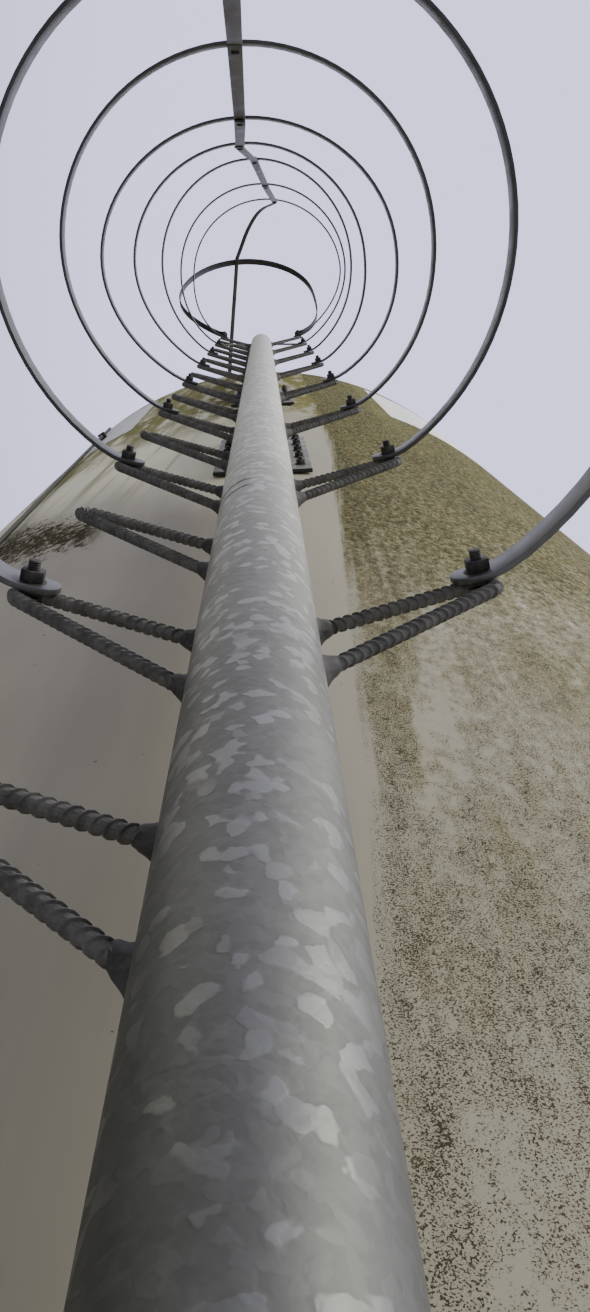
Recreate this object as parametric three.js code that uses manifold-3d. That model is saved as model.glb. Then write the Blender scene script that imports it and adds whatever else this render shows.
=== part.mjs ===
// A farm grain silo: a round plastic shell with a hopper below and a cone above, carried by four galvanised
// pipe legs. The front leg runs on past the wall's top as a climbing pole, with bent-bar steps and a hoop cage.
// Millimetres, +Z up. The ladder is on the -Y side. Sizes in the silo's own frame are measured from its axis.
import * as THREE from "three";
import { mergeVertices } from "three/addons/utils/BufferGeometryUtils.js";
import Module from "manifold-3d";

// Shell
const WALL_RADIUS = 1200;
const SHELL_THICKNESS = 6;
const WALL_BOTTOM = 1850;
const WALL_TOP = 6460;
const WALL_PIECES = 6;
const WALL_STEPS = 10;
const ROUND_SIDES = WALL_PIECES * WALL_STEPS;
const SEAT_GAP = 0.3;

// Roof cone and hatch
const ROOF_SLOPE = THREE.MathUtils.degToRad(32);
const SHOULDER_RADIUS = 60;
const HATCH_RADIUS = 290;
const HATCH_HEIGHT = 95;
const LID_OVERHANG = 22;
const LID_RISE = 62;
const LID_SKIRT = 34;

// Hopper and outlet
const OUTLET_RADIUS = 200;
const HOPPER_BOTTOM = 520;
const COLLAR_HEIGHT = 110;
const FLANGE_RADIUS = 255;
const FLANGE_THICKNESS = 10;
const GATE_FRAME_SIZE = 520;
const GATE_FRAME_HEIGHT = 32;
const GATE_WIDTH = 420;
const GATE_THICKNESS = 6;

// Legs
const PIPE_RADIUS = 45.5;
const PIPE_WALL = 4;
const PIPE_SIDES = 24;
const LEG_OFFSET = 110;
const LEG_CIRCLE = WALL_RADIUS + LEG_OFFSET;
const FOOT_SIZE = 200;
const FOOT_THICKNESS = 12;
const PLAIN_LEG_TOP = 5720;
const POLE_TOP = 6660;
const POLE_JOINTS = [3160, 4900];

// Wall brackets, as heights of their lower edges
const BRACKET_HEIGHTS = [3760, 5055];
const BRACKET_WIDTH = 200;
const BRACKET_HEIGHT = 515;
const BRACKET_THICKNESS = 8;
const BRACKET_CORNER = 45;
const RIB_SPACING = 44;
const RIB_THICKNESS = 6;

// The ladder faces a little off the silo's axis
const LADDER_TURN = THREE.MathUtils.degToRad(1.4);

// Steps: bent bars welded to the pole's sides, a full set on the left and every second one on the right
const STEP_PITCH = 300;
const STEP_COUNT = 22;
const STEP_BAR_RADIUS = 6;
const STEP_BEND_RADIUS = 12;
const STEP_REACH = 168;
const STEP_FORWARD = 28;
const STEP_RISE = 10;
const LEFT_WELD_BACK = 5;
const RIGHT_WELD_BACK = -1;
const UPPER_SLOPE = THREE.MathUtils.degToRad(11.8);
const LOWER_SLOPE = THREE.MathUtils.degToRad(38);
const STEP_ROOT = PIPE_RADIUS - 5.5;

// Cage hoops and their straps
const FIRST_HOOP_STEP = 8;
const HOOP_EVERY = 2;
const HOOP_BAR_HEIGHT = 30;
const HOOP_BAR_THICKNESS = 5;
const HOOP_STEPS = 30;
const TAB_END = 148;
const ARC_END = 190;
const HOOP_RISE = 22;
const HOOP_RADII = [312, 317, 324, 337, 325, 317, 320, 325];
const HOOP_DEPTHS = [616, 620, 624, 596, 616, 640, 616, 606];
const HOOP_SHIFTS = [0, 0, -12, -17, -23, -6, 16, 35];
const TOP_HOOP_TILT = THREE.MathUtils.degToRad(50.7);
const TOP_HOOP_RADIUS = 314;
const TOP_HOOP_REACH = 500;
const TOP_HOOP_SHIFT = -63;
const STRAP_WIDTH = 25;
const STRAP_THICKNESS = 4;
const STRAP_SLACK = 2.4;
const STRAP_SHIFTS = [-20, -20, -26, -31, -42, -5, 32, 72];
const STRAP_LAP = 42;
const STRAP_PAST = 20;
const TOP_STRAP_WIDTH = 18;
const TOP_STRAP_BEND = [[5, -572, 6745], [-50, -499, 6843], [-92, -405, 6950]];
const TOP_STRAP_CROSSING = -110;
const TOP_STRAP_OVER = [-147, 60, 6775];
const TOP_STRAP_FOOT_X = -150;
const TOP_STRAP_FOOT_Y = 190;
const BOLT_HEAD_RADIUS = 7.5;
const BOLT_HEAD_HEIGHT = 5.5;
const TIE_RADIUS = 4;

// A thin rod in guides up the wall, on the ladder's left
const ROD_RADIUS = 5.5;
const ROD_STANDOFF = 12;
const ROD_TOP_ANGLE = THREE.MathUtils.degToRad(31.5);
const ROD_BOTTOM_ANGLE = THREE.MathUtils.degToRad(23);
const ROD_BOTTOM = 1950;
const ROD_TOP = 6040;
const ROD_GUIDE_HEIGHTS = [2300, 5750];

const STEP_FALL = (STEP_FORWARD + LEFT_WELD_BACK) / (STEP_REACH - STEP_ROOT);
const STEP_FRONT = STEP_FORWARD + STEP_BEND_RADIUS * STEP_FALL + STEP_BAR_RADIUS;
const TAB_PLANE = STEP_FRONT + SEAT_GAP + HOOP_BAR_THICKNESS / 2;
const LEANING_HEIGHT = HOOP_BAR_HEIGHT * Math.cos(TOP_HOOP_TILT) + HOOP_BAR_THICKNESS * Math.sin(TOP_HOOP_TILT);
const LEANING_RISE = (HOOP_BAR_HEIGHT + LEANING_HEIGHT) / 2 + 2 * SEAT_GAP;
const HOOP_COUNT = HOOP_RADII.length;
const HOOP_REACHES = HOOP_DEPTHS.map((depth) => depth - TAB_PLANE);
const BRACKET_FACE = LEG_OFFSET - SEAT_GAP - BRACKET_THICKNESS;
const ROOF_EDGE_Z = WALL_TOP + SEAT_GAP;

const wasm = await Module();
wasm.setup();

const shellMaterial = new THREE.MeshStandardMaterial({ color: 0x8d8b72, roughness: 0.6, metalness: 0 });
const zincMaterial = new THREE.MeshStandardMaterial({ color: 0xa9abab, roughness: 0.5, metalness: 0.8 });
const darkBarMaterial = new THREE.MeshStandardMaterial({ color: 0x4a4c48, roughness: 0.7, metalness: 0.6 });
const hoopMaterial = new THREE.MeshStandardMaterial({ color: 0x70747a, roughness: 0.5, metalness: 0.7 });

function solidFrom(geometry) {
  const bare = geometry.index ? geometry.toNonIndexed() : geometry.clone();
  bare.deleteAttribute("normal");
  bare.deleteAttribute("uv");
  const merged = mergeVertices(bare, 1e-3);
  const vertProperties = new Float32Array(merged.attributes.position.array);
  const triVerts = new Uint32Array(merged.index.array);
  return new wasm.Manifold(new wasm.Mesh({ numProp: 3, vertProperties, triVerts }));
}

function geometryFrom(solid) {
  const mesh = solid.getMesh();
  const geometry = new THREE.BufferGeometry();
  geometry.setAttribute("position", new THREE.BufferAttribute(mesh.vertProperties, 3));
  geometry.setIndex(new THREE.BufferAttribute(mesh.triVerts, 1));
  geometry.computeVertexNormals();
  return geometry;
}

function joined(geometries) {
  return geometryFrom(geometries.map(solidFrom).reduce((whole, piece) => whole.add(piece)));
}

function cut(geometry, ...tools) {
  return geometryFrom(tools.map(solidFrom).reduce((whole, tool) => whole.subtract(tool), solidFrom(geometry)));
}

function addPart(parent, name, geometry, material) {
  const mesh = new THREE.Mesh(geometry, material);
  mesh.name = name;
  parent.add(mesh);
  return mesh;
}

// A path through chosen stations. The section's x axis stays along the given direction.
class StationPath extends THREE.Curve {
  constructor(stations, across) {
    super();
    this.stations = stations;
    this.across = across;
  }

  getPoint(t, target = new THREE.Vector3()) {
    const last = this.stations.length - 1;
    const place = THREE.MathUtils.clamp(t, 0, 1) * last;
    const index = Math.min(Math.floor(place), last - 1);
    return target.lerpVectors(this.stations[index], this.stations[index + 1], place - index);
  }

  getPointAt(u, target) {
    return this.getPoint(u, target);
  }

  computeFrenetFrames(segments) {
    const tangents = [];
    const normals = [];
    const binormals = [];
    for (let index = 0; index <= segments; index += 1) {
      const here = this.stations[index];
      const arriving = here.clone().sub(this.stations[Math.max(index - 1, 0)]).normalize();
      const leaving = this.stations[Math.min(index + 1, segments)].clone().sub(here).normalize();
      const tangent = arriving.add(leaving).normalize();
      const normal = this.across.clone().addScaledVector(tangent, -this.across.dot(tangent)).normalize();
      tangents.push(tangent);
      normals.push(normal);
      binormals.push(tangent.clone().cross(normal));
    }
    return { tangents, normals, binormals };
  }
}

function sweep(shape, stations, across) {
  const extrudePath = new StationPath(stations, across);
  return new THREE.ExtrudeGeometry(shape, { steps: stations.length - 1, bevelEnabled: false, extrudePath });
}

function rectangle(width, height) {
  const shape = new THREE.Shape();
  shape.moveTo(-width / 2, -height / 2);
  shape.lineTo(width / 2, -height / 2);
  shape.lineTo(width / 2, height / 2);
  shape.lineTo(-width / 2, height / 2);
  shape.closePath();
  return shape;
}

function polygon(radius, sides) {
  const corners = [];
  for (let index = 0; index < sides; index += 1) {
    const angle = (index / sides) * 2 * Math.PI;
    corners.push(new THREE.Vector2(radius * Math.cos(angle), radius * Math.sin(angle)));
  }
  return new THREE.Shape(corners);
}

function turned(profile, sides) {
  const points = profile.map(([radius, height]) => new THREE.Vector2(radius, height));
  return new THREE.LatheGeometry(points, sides).rotateX(Math.PI / 2);
}

function upright(width, depth, height, x, y, z) {
  return new THREE.BoxGeometry(width, depth, height).translate(x, y, z + height / 2);
}

// Shell

function wallPiece(index) {
  const share = (2 * Math.PI) / WALL_PIECES;
  const gapAngle = SEAT_GAP / 2 / WALL_RADIUS;
  const from = -Math.PI / 2 + (index - 0.5) * share + gapAngle;
  const to = -Math.PI / 2 + (index + 0.5) * share - gapAngle;
  const corners = [];
  for (let step = 0; step <= WALL_STEPS; step += 1) {
    const angle = from + ((to - from) * step) / WALL_STEPS;
    corners.push(new THREE.Vector2(Math.cos(angle), Math.sin(angle)).multiplyScalar(WALL_RADIUS));
  }
  for (let step = WALL_STEPS; step >= 0; step -= 1) {
    const angle = from + ((to - from) * step) / WALL_STEPS;
    const inner = WALL_RADIUS - SHELL_THICKNESS;
    corners.push(new THREE.Vector2(Math.cos(angle), Math.sin(angle)).multiplyScalar(inner));
  }
  const shape = new THREE.Shape(corners);
  const options = { depth: WALL_TOP - WALL_BOTTOM, steps: 1, bevelEnabled: false };
  return new THREE.ExtrudeGeometry(shape, options).translate(0, 0, WALL_BOTTOM);
}

// The rounded shoulder's outline, moved inwards by the given depth. It ends where the cone starts.
function shoulderLine(depth) {
  const points = [];
  const radius = SHOULDER_RADIUS - depth;
  for (let index = 0; index <= 4; index += 1) {
    const angle = (Math.PI / 2 - ROOF_SLOPE) * (index / 4);
    const out = WALL_RADIUS - SHOULDER_RADIUS + radius * Math.cos(angle);
    points.push([out, ROOF_EDGE_Z + radius * Math.sin(angle)]);
  }
  return points;
}

function roofHeightAt(radius, depth = 0) {
  const [startRadius, startHeight] = shoulderLine(depth).pop();
  return startHeight + (startRadius - radius) * Math.tan(ROOF_SLOPE);
}

function roof() {
  const outer = [...shoulderLine(0), [HATCH_RADIUS, roofHeightAt(HATCH_RADIUS)]];
  const inner = [...shoulderLine(SHELL_THICKNESS), [HATCH_RADIUS, roofHeightAt(HATCH_RADIUS, SHELL_THICKNESS)]];
  return turned([...outer, ...inner.reverse(), outer[0]], ROUND_SIDES);
}

function hatchCollar() {
  const outer = HATCH_RADIUS + SHELL_THICKNESS;
  const top = roofHeightAt(HATCH_RADIUS) + HATCH_HEIGHT;
  const profile = [
    [HATCH_RADIUS, roofHeightAt(HATCH_RADIUS) + SEAT_GAP],
    [outer, roofHeightAt(outer) + SEAT_GAP],
    [outer, top],
    [HATCH_RADIUS, top],
    [HATCH_RADIUS, roofHeightAt(HATCH_RADIUS) + SEAT_GAP],
  ];
  return turned(profile, ROUND_SIDES);
}

function hatchLid() {
  const base = roofHeightAt(HATCH_RADIUS) + HATCH_HEIGHT + SEAT_GAP;
  const edge = HATCH_RADIUS + LID_OVERHANG;
  const skirtInside = edge - SHELL_THICKNESS;
  const dome = [
    [edge, base + 6],
    [edge * 0.8, base + LID_RISE * 0.45],
    [edge * 0.5, base + LID_RISE * 0.8],
    [edge * 0.2, base + LID_RISE * 0.97],
    [0, base + LID_RISE],
  ];
  const underDome = dome.slice(1).reverse().map(([radius, height]) => [radius, height - SHELL_THICKNESS]);
  const profile = [
    ...underDome,
    [HATCH_RADIUS - 14, base + 5],
    [HATCH_RADIUS - 14, base],
    [skirtInside, base],
    [skirtInside, base - LID_SKIRT],
    [edge, base - LID_SKIRT],
    ...dome,
  ];
  return turned(profile, ROUND_SIDES);
}

function hopper() {
  const top = WALL_BOTTOM - SEAT_GAP;
  const profile = [
    [OUTLET_RADIUS, HOPPER_BOTTOM],
    [WALL_RADIUS, top - 40],
    [WALL_RADIUS, top],
    [WALL_RADIUS - SHELL_THICKNESS, top],
    [WALL_RADIUS - SHELL_THICKNESS, top - 36],
    [OUTLET_RADIUS - SHELL_THICKNESS, HOPPER_BOTTOM],
    [OUTLET_RADIUS, HOPPER_BOTTOM],
  ];
  return turned(profile, ROUND_SIDES);
}

function outletCollar() {
  const top = HOPPER_BOTTOM - SEAT_GAP;
  const bottom = top - COLLAR_HEIGHT;
  const inner = OUTLET_RADIUS - 5;
  const profile = [
    [inner, bottom],
    [FLANGE_RADIUS, bottom],
    [FLANGE_RADIUS, bottom + FLANGE_THICKNESS],
    [OUTLET_RADIUS, bottom + FLANGE_THICKNESS],
    [OUTLET_RADIUS, top],
    [inner, top],
    [inner, bottom],
  ];
  return turned(profile, 36);
}

function gateFrame() {
  const top = HOPPER_BOTTOM - COLLAR_HEIGHT - 2 * SEAT_GAP;
  const bottom = top - GATE_FRAME_HEIGHT;
  const body = upright(GATE_FRAME_SIZE, GATE_FRAME_SIZE, GATE_FRAME_HEIGHT, 0, 0, bottom);
  const hole = new THREE.CylinderGeometry(OUTLET_RADIUS - 5, OUTLET_RADIUS - 5, 100, 36);
  hole.rotateX(Math.PI / 2).translate(0, 0, bottom);
  const slotHeight = GATE_THICKNESS + 4;
  const slotBottom = bottom + (GATE_FRAME_HEIGHT - slotHeight) / 2;
  const slot = upright(GATE_WIDTH + 4, GATE_FRAME_SIZE, slotHeight, 0, -30, slotBottom);
  return cut(body, hole, slot);
}

function slideGate() {
  const frameTop = HOPPER_BOTTOM - COLLAR_HEIGHT - 2 * SEAT_GAP;
  const bottom = frameTop - GATE_FRAME_HEIGHT / 2 - GATE_THICKNESS / 2 - 2 + SEAT_GAP;
  const plate = upright(GATE_WIDTH, GATE_FRAME_SIZE - 20, GATE_THICKNESS, 0, -30, bottom);
  const grip = upright(160, 10, 50, 0, -(GATE_FRAME_SIZE / 2 + 22), bottom - 22);
  return joined([plate, grip]);
}

// Legs, feet and brackets. Each is made as the front one, with the pipe's axis on the origin.

function pipe(from, to) {
  const inner = PIPE_RADIUS - PIPE_WALL;
  const profile = [
    [PIPE_RADIUS, from],
    [PIPE_RADIUS, to],
    [inner, to],
    [inner, from],
    [PIPE_RADIUS, from],
  ];
  return turned(profile, PIPE_SIDES);
}

// A pipe closed at its top by a low dome.
function cappedPipe(from, to) {
  const inner = PIPE_RADIUS - PIPE_WALL;
  const profile = [
    [0, to - PIPE_WALL],
    [inner * 0.7, to - PIPE_WALL - 4],
    [inner, to - 16],
    [inner, from],
    [PIPE_RADIUS, from],
    [PIPE_RADIUS, to - 12],
    [PIPE_RADIUS * 0.75, to - 4],
    [PIPE_RADIUS * 0.4, to - 1],
    [0, to],
  ];
  return turned(profile, PIPE_SIDES);
}

function footPlate() {
  return upright(FOOT_SIZE, FOOT_SIZE, FOOT_THICKNESS, 0, 0, 0);
}

// A plate on the wall with round upper corners, and two ribs that reach the pipe.
function bracket() {
  const half = BRACKET_WIDTH / 2;
  const outline = new THREE.Shape();
  outline.moveTo(-half, 0);
  outline.lineTo(half, 0);
  outline.lineTo(half, BRACKET_HEIGHT - BRACKET_CORNER);
  outline.absarc(half - BRACKET_CORNER, BRACKET_HEIGHT - BRACKET_CORNER, BRACKET_CORNER, 0, Math.PI / 2);
  outline.absarc(-half + BRACKET_CORNER, BRACKET_HEIGHT - BRACKET_CORNER, BRACKET_CORNER, Math.PI / 2, Math.PI);
  outline.closePath();
  const options = { depth: BRACKET_THICKNESS, steps: 1, bevelEnabled: false, curveSegments: 5 };
  const plate = new THREE.ExtrudeGeometry(outline, options);
  plate.rotateX(Math.PI / 2).translate(0, BRACKET_FACE + BRACKET_THICKNESS, 0);
  const ribX = RIB_SPACING / 2;
  const ribStart = Math.sqrt(PIPE_RADIUS ** 2 - (ribX - RIB_THICKNESS / 2) ** 2) + SEAT_GAP;
  const ribDepth = BRACKET_FACE + 1 - ribStart;
  const ribs = [-1, 1].map((side) =>
    upright(RIB_THICKNESS, ribDepth, BRACKET_HEIGHT - 60, side * ribX, ribStart + ribDepth / 2, 30),
  );
  return joined([plate, ...ribs]);
}

// A step: up and out from its lower weld, round the bend, and back to its upper weld just below stepHeight.
function step(side, stepHeight) {
  const root = new THREE.Vector3(side * STEP_ROOT, side < 0 ? LEFT_WELD_BACK : RIGHT_WELD_BACK, 0);
  const outward = new THREE.Vector3(side * STEP_REACH, -STEP_FORWARD, 0).sub(root);
  const reach = outward.length();
  outward.normalize();
  const bendHeight = stepHeight + STEP_RISE;
  const at = (distance, height) => root.clone().addScaledVector(outward, distance).setZ(height);
  const startAngle = LOWER_SLOPE - Math.PI / 2;
  const endAngle = UPPER_SLOPE + Math.PI / 2;
  const stations = [];
  for (let index = 0; index <= 5; index += 1) {
    const angle = startAngle + ((endAngle - startAngle) * index) / 5;
    const distance = reach + STEP_BEND_RADIUS * Math.cos(angle);
    stations.push(at(distance, bendHeight + STEP_BEND_RADIUS * Math.sin(angle)));
  }
  const lowerRun = reach + STEP_BEND_RADIUS * Math.cos(startAngle);
  const upperRun = reach + STEP_BEND_RADIUS * Math.cos(endAngle);
  const lowerWeld = stations[0].z - lowerRun * Math.tan(LOWER_SLOPE);
  const upperWeld = stations[5].z - upperRun * Math.tan(UPPER_SLOPE);
  const route = [at(0, lowerWeld), ...stations, at(0, upperWeld)];
  return sweep(polygon(STEP_BAR_RADIUS, 6), route, outward.clone().cross(new THREE.Vector3(0, 0, 1)));
}

// A thin rod from the pole's top down to the end of the last but one pair of steps.
function topTie(side) {
  const lowerStep = (STEP_COUNT - HOOP_EVERY) * STEP_PITCH;
  const bend = new THREE.Vector3(side * STEP_REACH, -STEP_FORWARD, lowerStep + STEP_RISE + STEP_BEND_RADIUS);
  const top = new THREE.Vector3(side * STEP_ROOT, 0, POLE_TOP - 30);
  return sweep(polygon(TIE_RADIUS, 6), [bend, top], new THREE.Vector3(0, 1, 0));
}

// The pole between two heights, with the steps whose welds lie there.
function poleSection(from, to, isTop) {
  const pieces = [isTop ? cappedPipe(from, to) : pipe(from, to)];
  for (let number = 1; number <= STEP_COUNT; number += 1) {
    const height = number * STEP_PITCH;
    if (height < from || height > to) continue;
    pieces.push(step(-1, height));
    if (number % HOOP_EVERY === 0) pieces.push(step(1, height));
  }
  if (isTop) pieces.push(topTie(-1), topTie(1));
  return joined(pieces);
}

// Cage

function boltHead(x, y, z) {
  const head = new THREE.CylinderGeometry(BOLT_HEAD_RADIUS, BOLT_HEAD_RADIUS, BOLT_HEAD_HEIGHT + 2, 6);
  return head.translate(x, y + 1 - BOLT_HEAD_HEIGHT / 2, z);
}

// The round of a hoop as points of x and distance from the tabs, from the left end to the right.
function hoopRound(halfWidth, reach, shift) {
  const low = Math.acos(ARC_END / halfWidth);
  const halfReach = reach / (1 + Math.sin(low));
  const points = [];
  for (let index = 0; index <= HOOP_STEPS; index += 1) {
    const share = index / HOOP_STEPS;
    const angle = Math.PI + low - (Math.PI + 2 * low) * share;
    const lean = shift * THREE.MathUtils.smoothstep(Math.min(share, 1 - share), 0, 0.22);
    points.push([halfWidth * Math.cos(angle) + lean, halfReach * (Math.sin(low) + Math.sin(angle))]);
  }
  return points;
}

// How far out a hoop's middle line is near its middle, and how steeply it falls away there.
function hoopReachAt(index, x) {
  const low = Math.acos(ARC_END / HOOP_RADII[index]);
  const halfReach = HOOP_REACHES[index] / (1 + Math.sin(low));
  const across = (x - HOOP_SHIFTS[index]) / HOOP_RADII[index];
  const along = Math.sqrt(1 - across ** 2);
  const slope = ((halfReach / HOOP_RADII[index]) * Math.abs(across)) / along;
  return { reach: halfReach * (Math.sin(low) + along), slope };
}

function hoop(index) {
  const round = hoopRound(HOOP_RADII[index], HOOP_REACHES[index], HOOP_SHIFTS[index]);
  const points = [[-TAB_END, 0], ...round, [TAB_END, 0]];
  const stations = points.map(([x, out]) => new THREE.Vector3(x, -TAB_PLANE - out, 0));
  const bar = sweep(rectangle(HOOP_BAR_HEIGHT, HOOP_BAR_THICKNESS), stations, new THREE.Vector3(0, 0, 1));
  const { reach } = hoopReachAt(index, STRAP_SHIFTS[index]);
  const boltY = -TAB_PLANE - reach - HOOP_BAR_THICKNESS / 2;
  return joined([bar, boltHead(STRAP_SHIFTS[index], boltY, 0)]);
}

// The last hoop leans back over the roof. Its end tabs share the bolts of the hoop below and rise past it.
function leaningPoint(x, out) {
  const y = -TAB_PLANE - HOOP_BAR_THICKNESS - SEAT_GAP - out * Math.cos(TOP_HOOP_TILT);
  return new THREE.Vector3(x, y, LEANING_RISE + out * Math.sin(TOP_HOOP_TILT));
}

function topHoop() {
  const axis = new THREE.Vector3(0, Math.sin(TOP_HOOP_TILT), Math.cos(TOP_HOOP_TILT));
  const round = hoopRound(TOP_HOOP_RADIUS, TOP_HOOP_REACH, TOP_HOOP_SHIFT);
  const points = [[-TAB_END - 6, 0], ...round, [TAB_END + 6, 0]];
  const stations = points.map(([x, out]) => leaningPoint(x, out));
  const bar = sweep(rectangle(HOOP_BAR_HEIGHT, HOOP_BAR_THICKNESS), stations, axis);
  const tabWidth = ARC_END - 6 - TAB_END;
  const tabHeight = HOOP_BAR_HEIGHT / 2 + LEANING_RISE + 4;
  const tabs = [-1, 1].map((side) => {
    const x = side * (TAB_END + tabWidth / 2);
    return upright(tabWidth, HOOP_BAR_THICKNESS, tabHeight, x, leaningPoint(0, 0).y, -HOOP_BAR_HEIGHT / 2);
  });
  return joined([bar, ...tabs]);
}

function hoopHeight(index) {
  return (FIRST_HOOP_STEP + HOOP_EVERY * index) * STEP_PITCH + HOOP_RISE;
}

// The middle of a strap where it crosses a hoop's inner face, lifted off it by a number of strap layers.
function strapCrossing(index, layers) {
  const { reach, slope } = hoopReachAt(index, STRAP_SHIFTS[index]);
  const slack = STRAP_SLACK + (slope * STRAP_WIDTH) / 2;
  const inwards = HOOP_BAR_THICKNESS / 2 + slack + (layers + 0.5) * STRAP_THICKNESS;
  return new THREE.Vector3(STRAP_SHIFTS[index], -TAB_PLANE - reach + inwards, hoopHeight(index));
}

// One flat bar for each bay between hoops. Each bar's foot laps over the end of the one below.
function backStraps() {
  const bars = [];
  for (let index = 0; index < HOOP_COUNT - 1; index += 1) {
    const foot = strapCrossing(index, index === 0 ? 0 : 0.9);
    const head = strapCrossing(index + 1, 0);
    const along = head.clone().sub(foot).normalize();
    foot.addScaledVector(along, -STRAP_LAP);
    head.addScaledVector(along, STRAP_PAST);
    bars.push(sweep(rectangle(STRAP_WIDTH, STRAP_THICKNESS), [foot, head], new THREE.Vector3(1, 0, 0)));
  }
  return joined(bars);
}

// The last strap curves back under the leaning hoop's middle and comes down to a foot on the roof.
function topStrap() {
  const start = strapCrossing(HOOP_COUNT - 1, 1.3);
  const axis = new THREE.Vector3(0, Math.sin(TOP_HOOP_TILT), Math.cos(TOP_HOOP_TILT));
  const reach = TOP_HOOP_REACH - HOOP_BAR_THICKNESS / 2 - STRAP_THICKNESS / 2 - 6;
  const crossing = leaningPoint(TOP_STRAP_CROSSING, reach);
  crossing.z += hoopHeight(HOOP_COUNT - 1);
  const footRadius = Math.hypot(TOP_STRAP_FOOT_X, LEG_CIRCLE - TOP_STRAP_FOOT_Y);
  const footZ = roofHeightAt(footRadius) + 12;
  const stations = [
    start.clone().add(new THREE.Vector3(0, 0, -STRAP_PAST)),
    start.clone().add(new THREE.Vector3(0, 0, STRAP_PAST)),
    ...TOP_STRAP_BEND.map((point) => new THREE.Vector3(...point)),
    crossing.clone().addScaledVector(axis, -HOOP_BAR_HEIGHT * 0.6),
    crossing.clone().addScaledVector(axis, HOOP_BAR_HEIGHT * 0.6),
    new THREE.Vector3(...TOP_STRAP_OVER),
    new THREE.Vector3(TOP_STRAP_FOOT_X, TOP_STRAP_FOOT_Y - 20, footZ + 20),
    new THREE.Vector3(TOP_STRAP_FOOT_X, TOP_STRAP_FOOT_Y, footZ),
    new THREE.Vector3(TOP_STRAP_FOOT_X, TOP_STRAP_FOOT_Y + 60, footZ + 60 * Math.tan(ROOF_SLOPE)),
  ];
  return sweep(rectangle(TOP_STRAP_WIDTH, STRAP_THICKNESS), stations, new THREE.Vector3(1, 0, 0));
}

// Wall rod

function rodAngle(height) {
  const share = (height - ROD_BOTTOM) / (ROD_TOP - ROD_BOTTOM);
  return -Math.PI / 2 - THREE.MathUtils.lerp(ROD_BOTTOM_ANGLE, ROD_TOP_ANGLE, share);
}

function wallRod() {
  const stations = [];
  for (let index = 0; index <= 8; index += 1) {
    const height = THREE.MathUtils.lerp(ROD_BOTTOM, ROD_TOP, index / 8);
    const radius = WALL_RADIUS + ROD_STANDOFF;
    const angle = rodAngle(height);
    stations.push(new THREE.Vector3(radius * Math.cos(angle), radius * Math.sin(angle), height));
  }
  return sweep(polygon(ROD_RADIUS, 8), stations, new THREE.Vector3(1, 0, 0));
}

// A small block on the wall with a hole that the rod runs through.
function rodGuide(height) {
  const angle = rodAngle(height);
  const depth = ROD_STANDOFF + 12;
  const block = upright(28, depth, 30, 0, -WALL_RADIUS - SEAT_GAP - depth / 2, -15);
  const hole = new THREE.CylinderGeometry(ROD_RADIUS + 1, ROD_RADIUS + 1, 60, 12);
  hole.rotateX(Math.PI / 2).translate(0, -WALL_RADIUS - ROD_STANDOFF, 0);
  return cut(block, hole).rotateZ(angle + Math.PI / 2).translate(0, 0, height);
}

// Assembly

const silo = new THREE.Group();

const wallNames = ["front", "front_right", "back_right", "back", "back_left", "front_left"];
wallNames.forEach((place, index) => addPart(silo, `wall_${place}`, wallPiece(index), shellMaterial));
addPart(silo, "roof_cone", roof(), shellMaterial);
addPart(silo, "hatch_collar", hatchCollar(), shellMaterial);
addPart(silo, "hatch_lid", hatchLid(), shellMaterial);
addPart(silo, "hopper_cone", hopper(), shellMaterial);
addPart(silo, "outlet_collar", outletCollar(), zincMaterial);
addPart(silo, "gate_frame", gateFrame(), zincMaterial);
addPart(silo, "slide_gate", slideGate(), zincMaterial);

const sides = [
  ["front", 0],
  ["right", Math.PI / 2],
  ["back", Math.PI],
  ["left", -Math.PI / 2],
];
const legGroups = {};
for (const [place, turn] of sides) {
  const around = new THREE.Group();
  around.rotation.z = turn;
  const atPipe = new THREE.Group();
  atPipe.position.y = -LEG_CIRCLE;
  around.add(atPipe);
  silo.add(around);
  legGroups[place] = atPipe;
  addPart(atPipe, `foot_plate_${place}`, footPlate(), zincMaterial);
  ["lower", "upper"].forEach((level, index) => {
    addPart(atPipe, `bracket_${place}_${level}`, bracket(), zincMaterial).position.z = BRACKET_HEIGHTS[index];
  });
  if (place !== "front") {
    addPart(atPipe, `leg_${place}`, cappedPipe(FOOT_THICKNESS + SEAT_GAP, PLAIN_LEG_TOP), zincMaterial);
  }
}

const pole = new THREE.Group();
pole.rotation.z = LADDER_TURN;
legGroups.front.add(pole);
const poleEnds = [FOOT_THICKNESS + SEAT_GAP, ...POLE_JOINTS, POLE_TOP];
["lower", "middle", "upper"].forEach((level, index) => {
  const from = poleEnds[index] + (index > 0 ? SEAT_GAP : 0);
  const to = poleEnds[index + 1];
  addPart(pole, `step_pole_${level}`, poleSection(from, to, index === 2), zincMaterial);
});

for (let index = 0; index < HOOP_COUNT; index += 1) {
  addPart(pole, `cage_hoop_${index + 1}`, hoop(index), hoopMaterial).position.z = hoopHeight(index);
}
addPart(pole, "cage_hoop_top", topHoop(), hoopMaterial).position.z = hoopHeight(HOOP_COUNT - 1);
addPart(pole, "cage_straps", backStraps(), hoopMaterial);
addPart(pole, "cage_top_strap", topStrap(), hoopMaterial);

addPart(silo, "wall_rod", wallRod(), darkBarMaterial);
["lower", "upper"].forEach((level, index) => {
  addPart(silo, `rod_guide_${level}`, rodGuide(ROD_GUIDE_HEIGHTS[index]), zincMaterial);
});

const middle = new THREE.Box3().setFromObject(silo, true).getCenter(new THREE.Vector3());
silo.position.set(-middle.x, -middle.y, 0);

export default silo;
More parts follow.
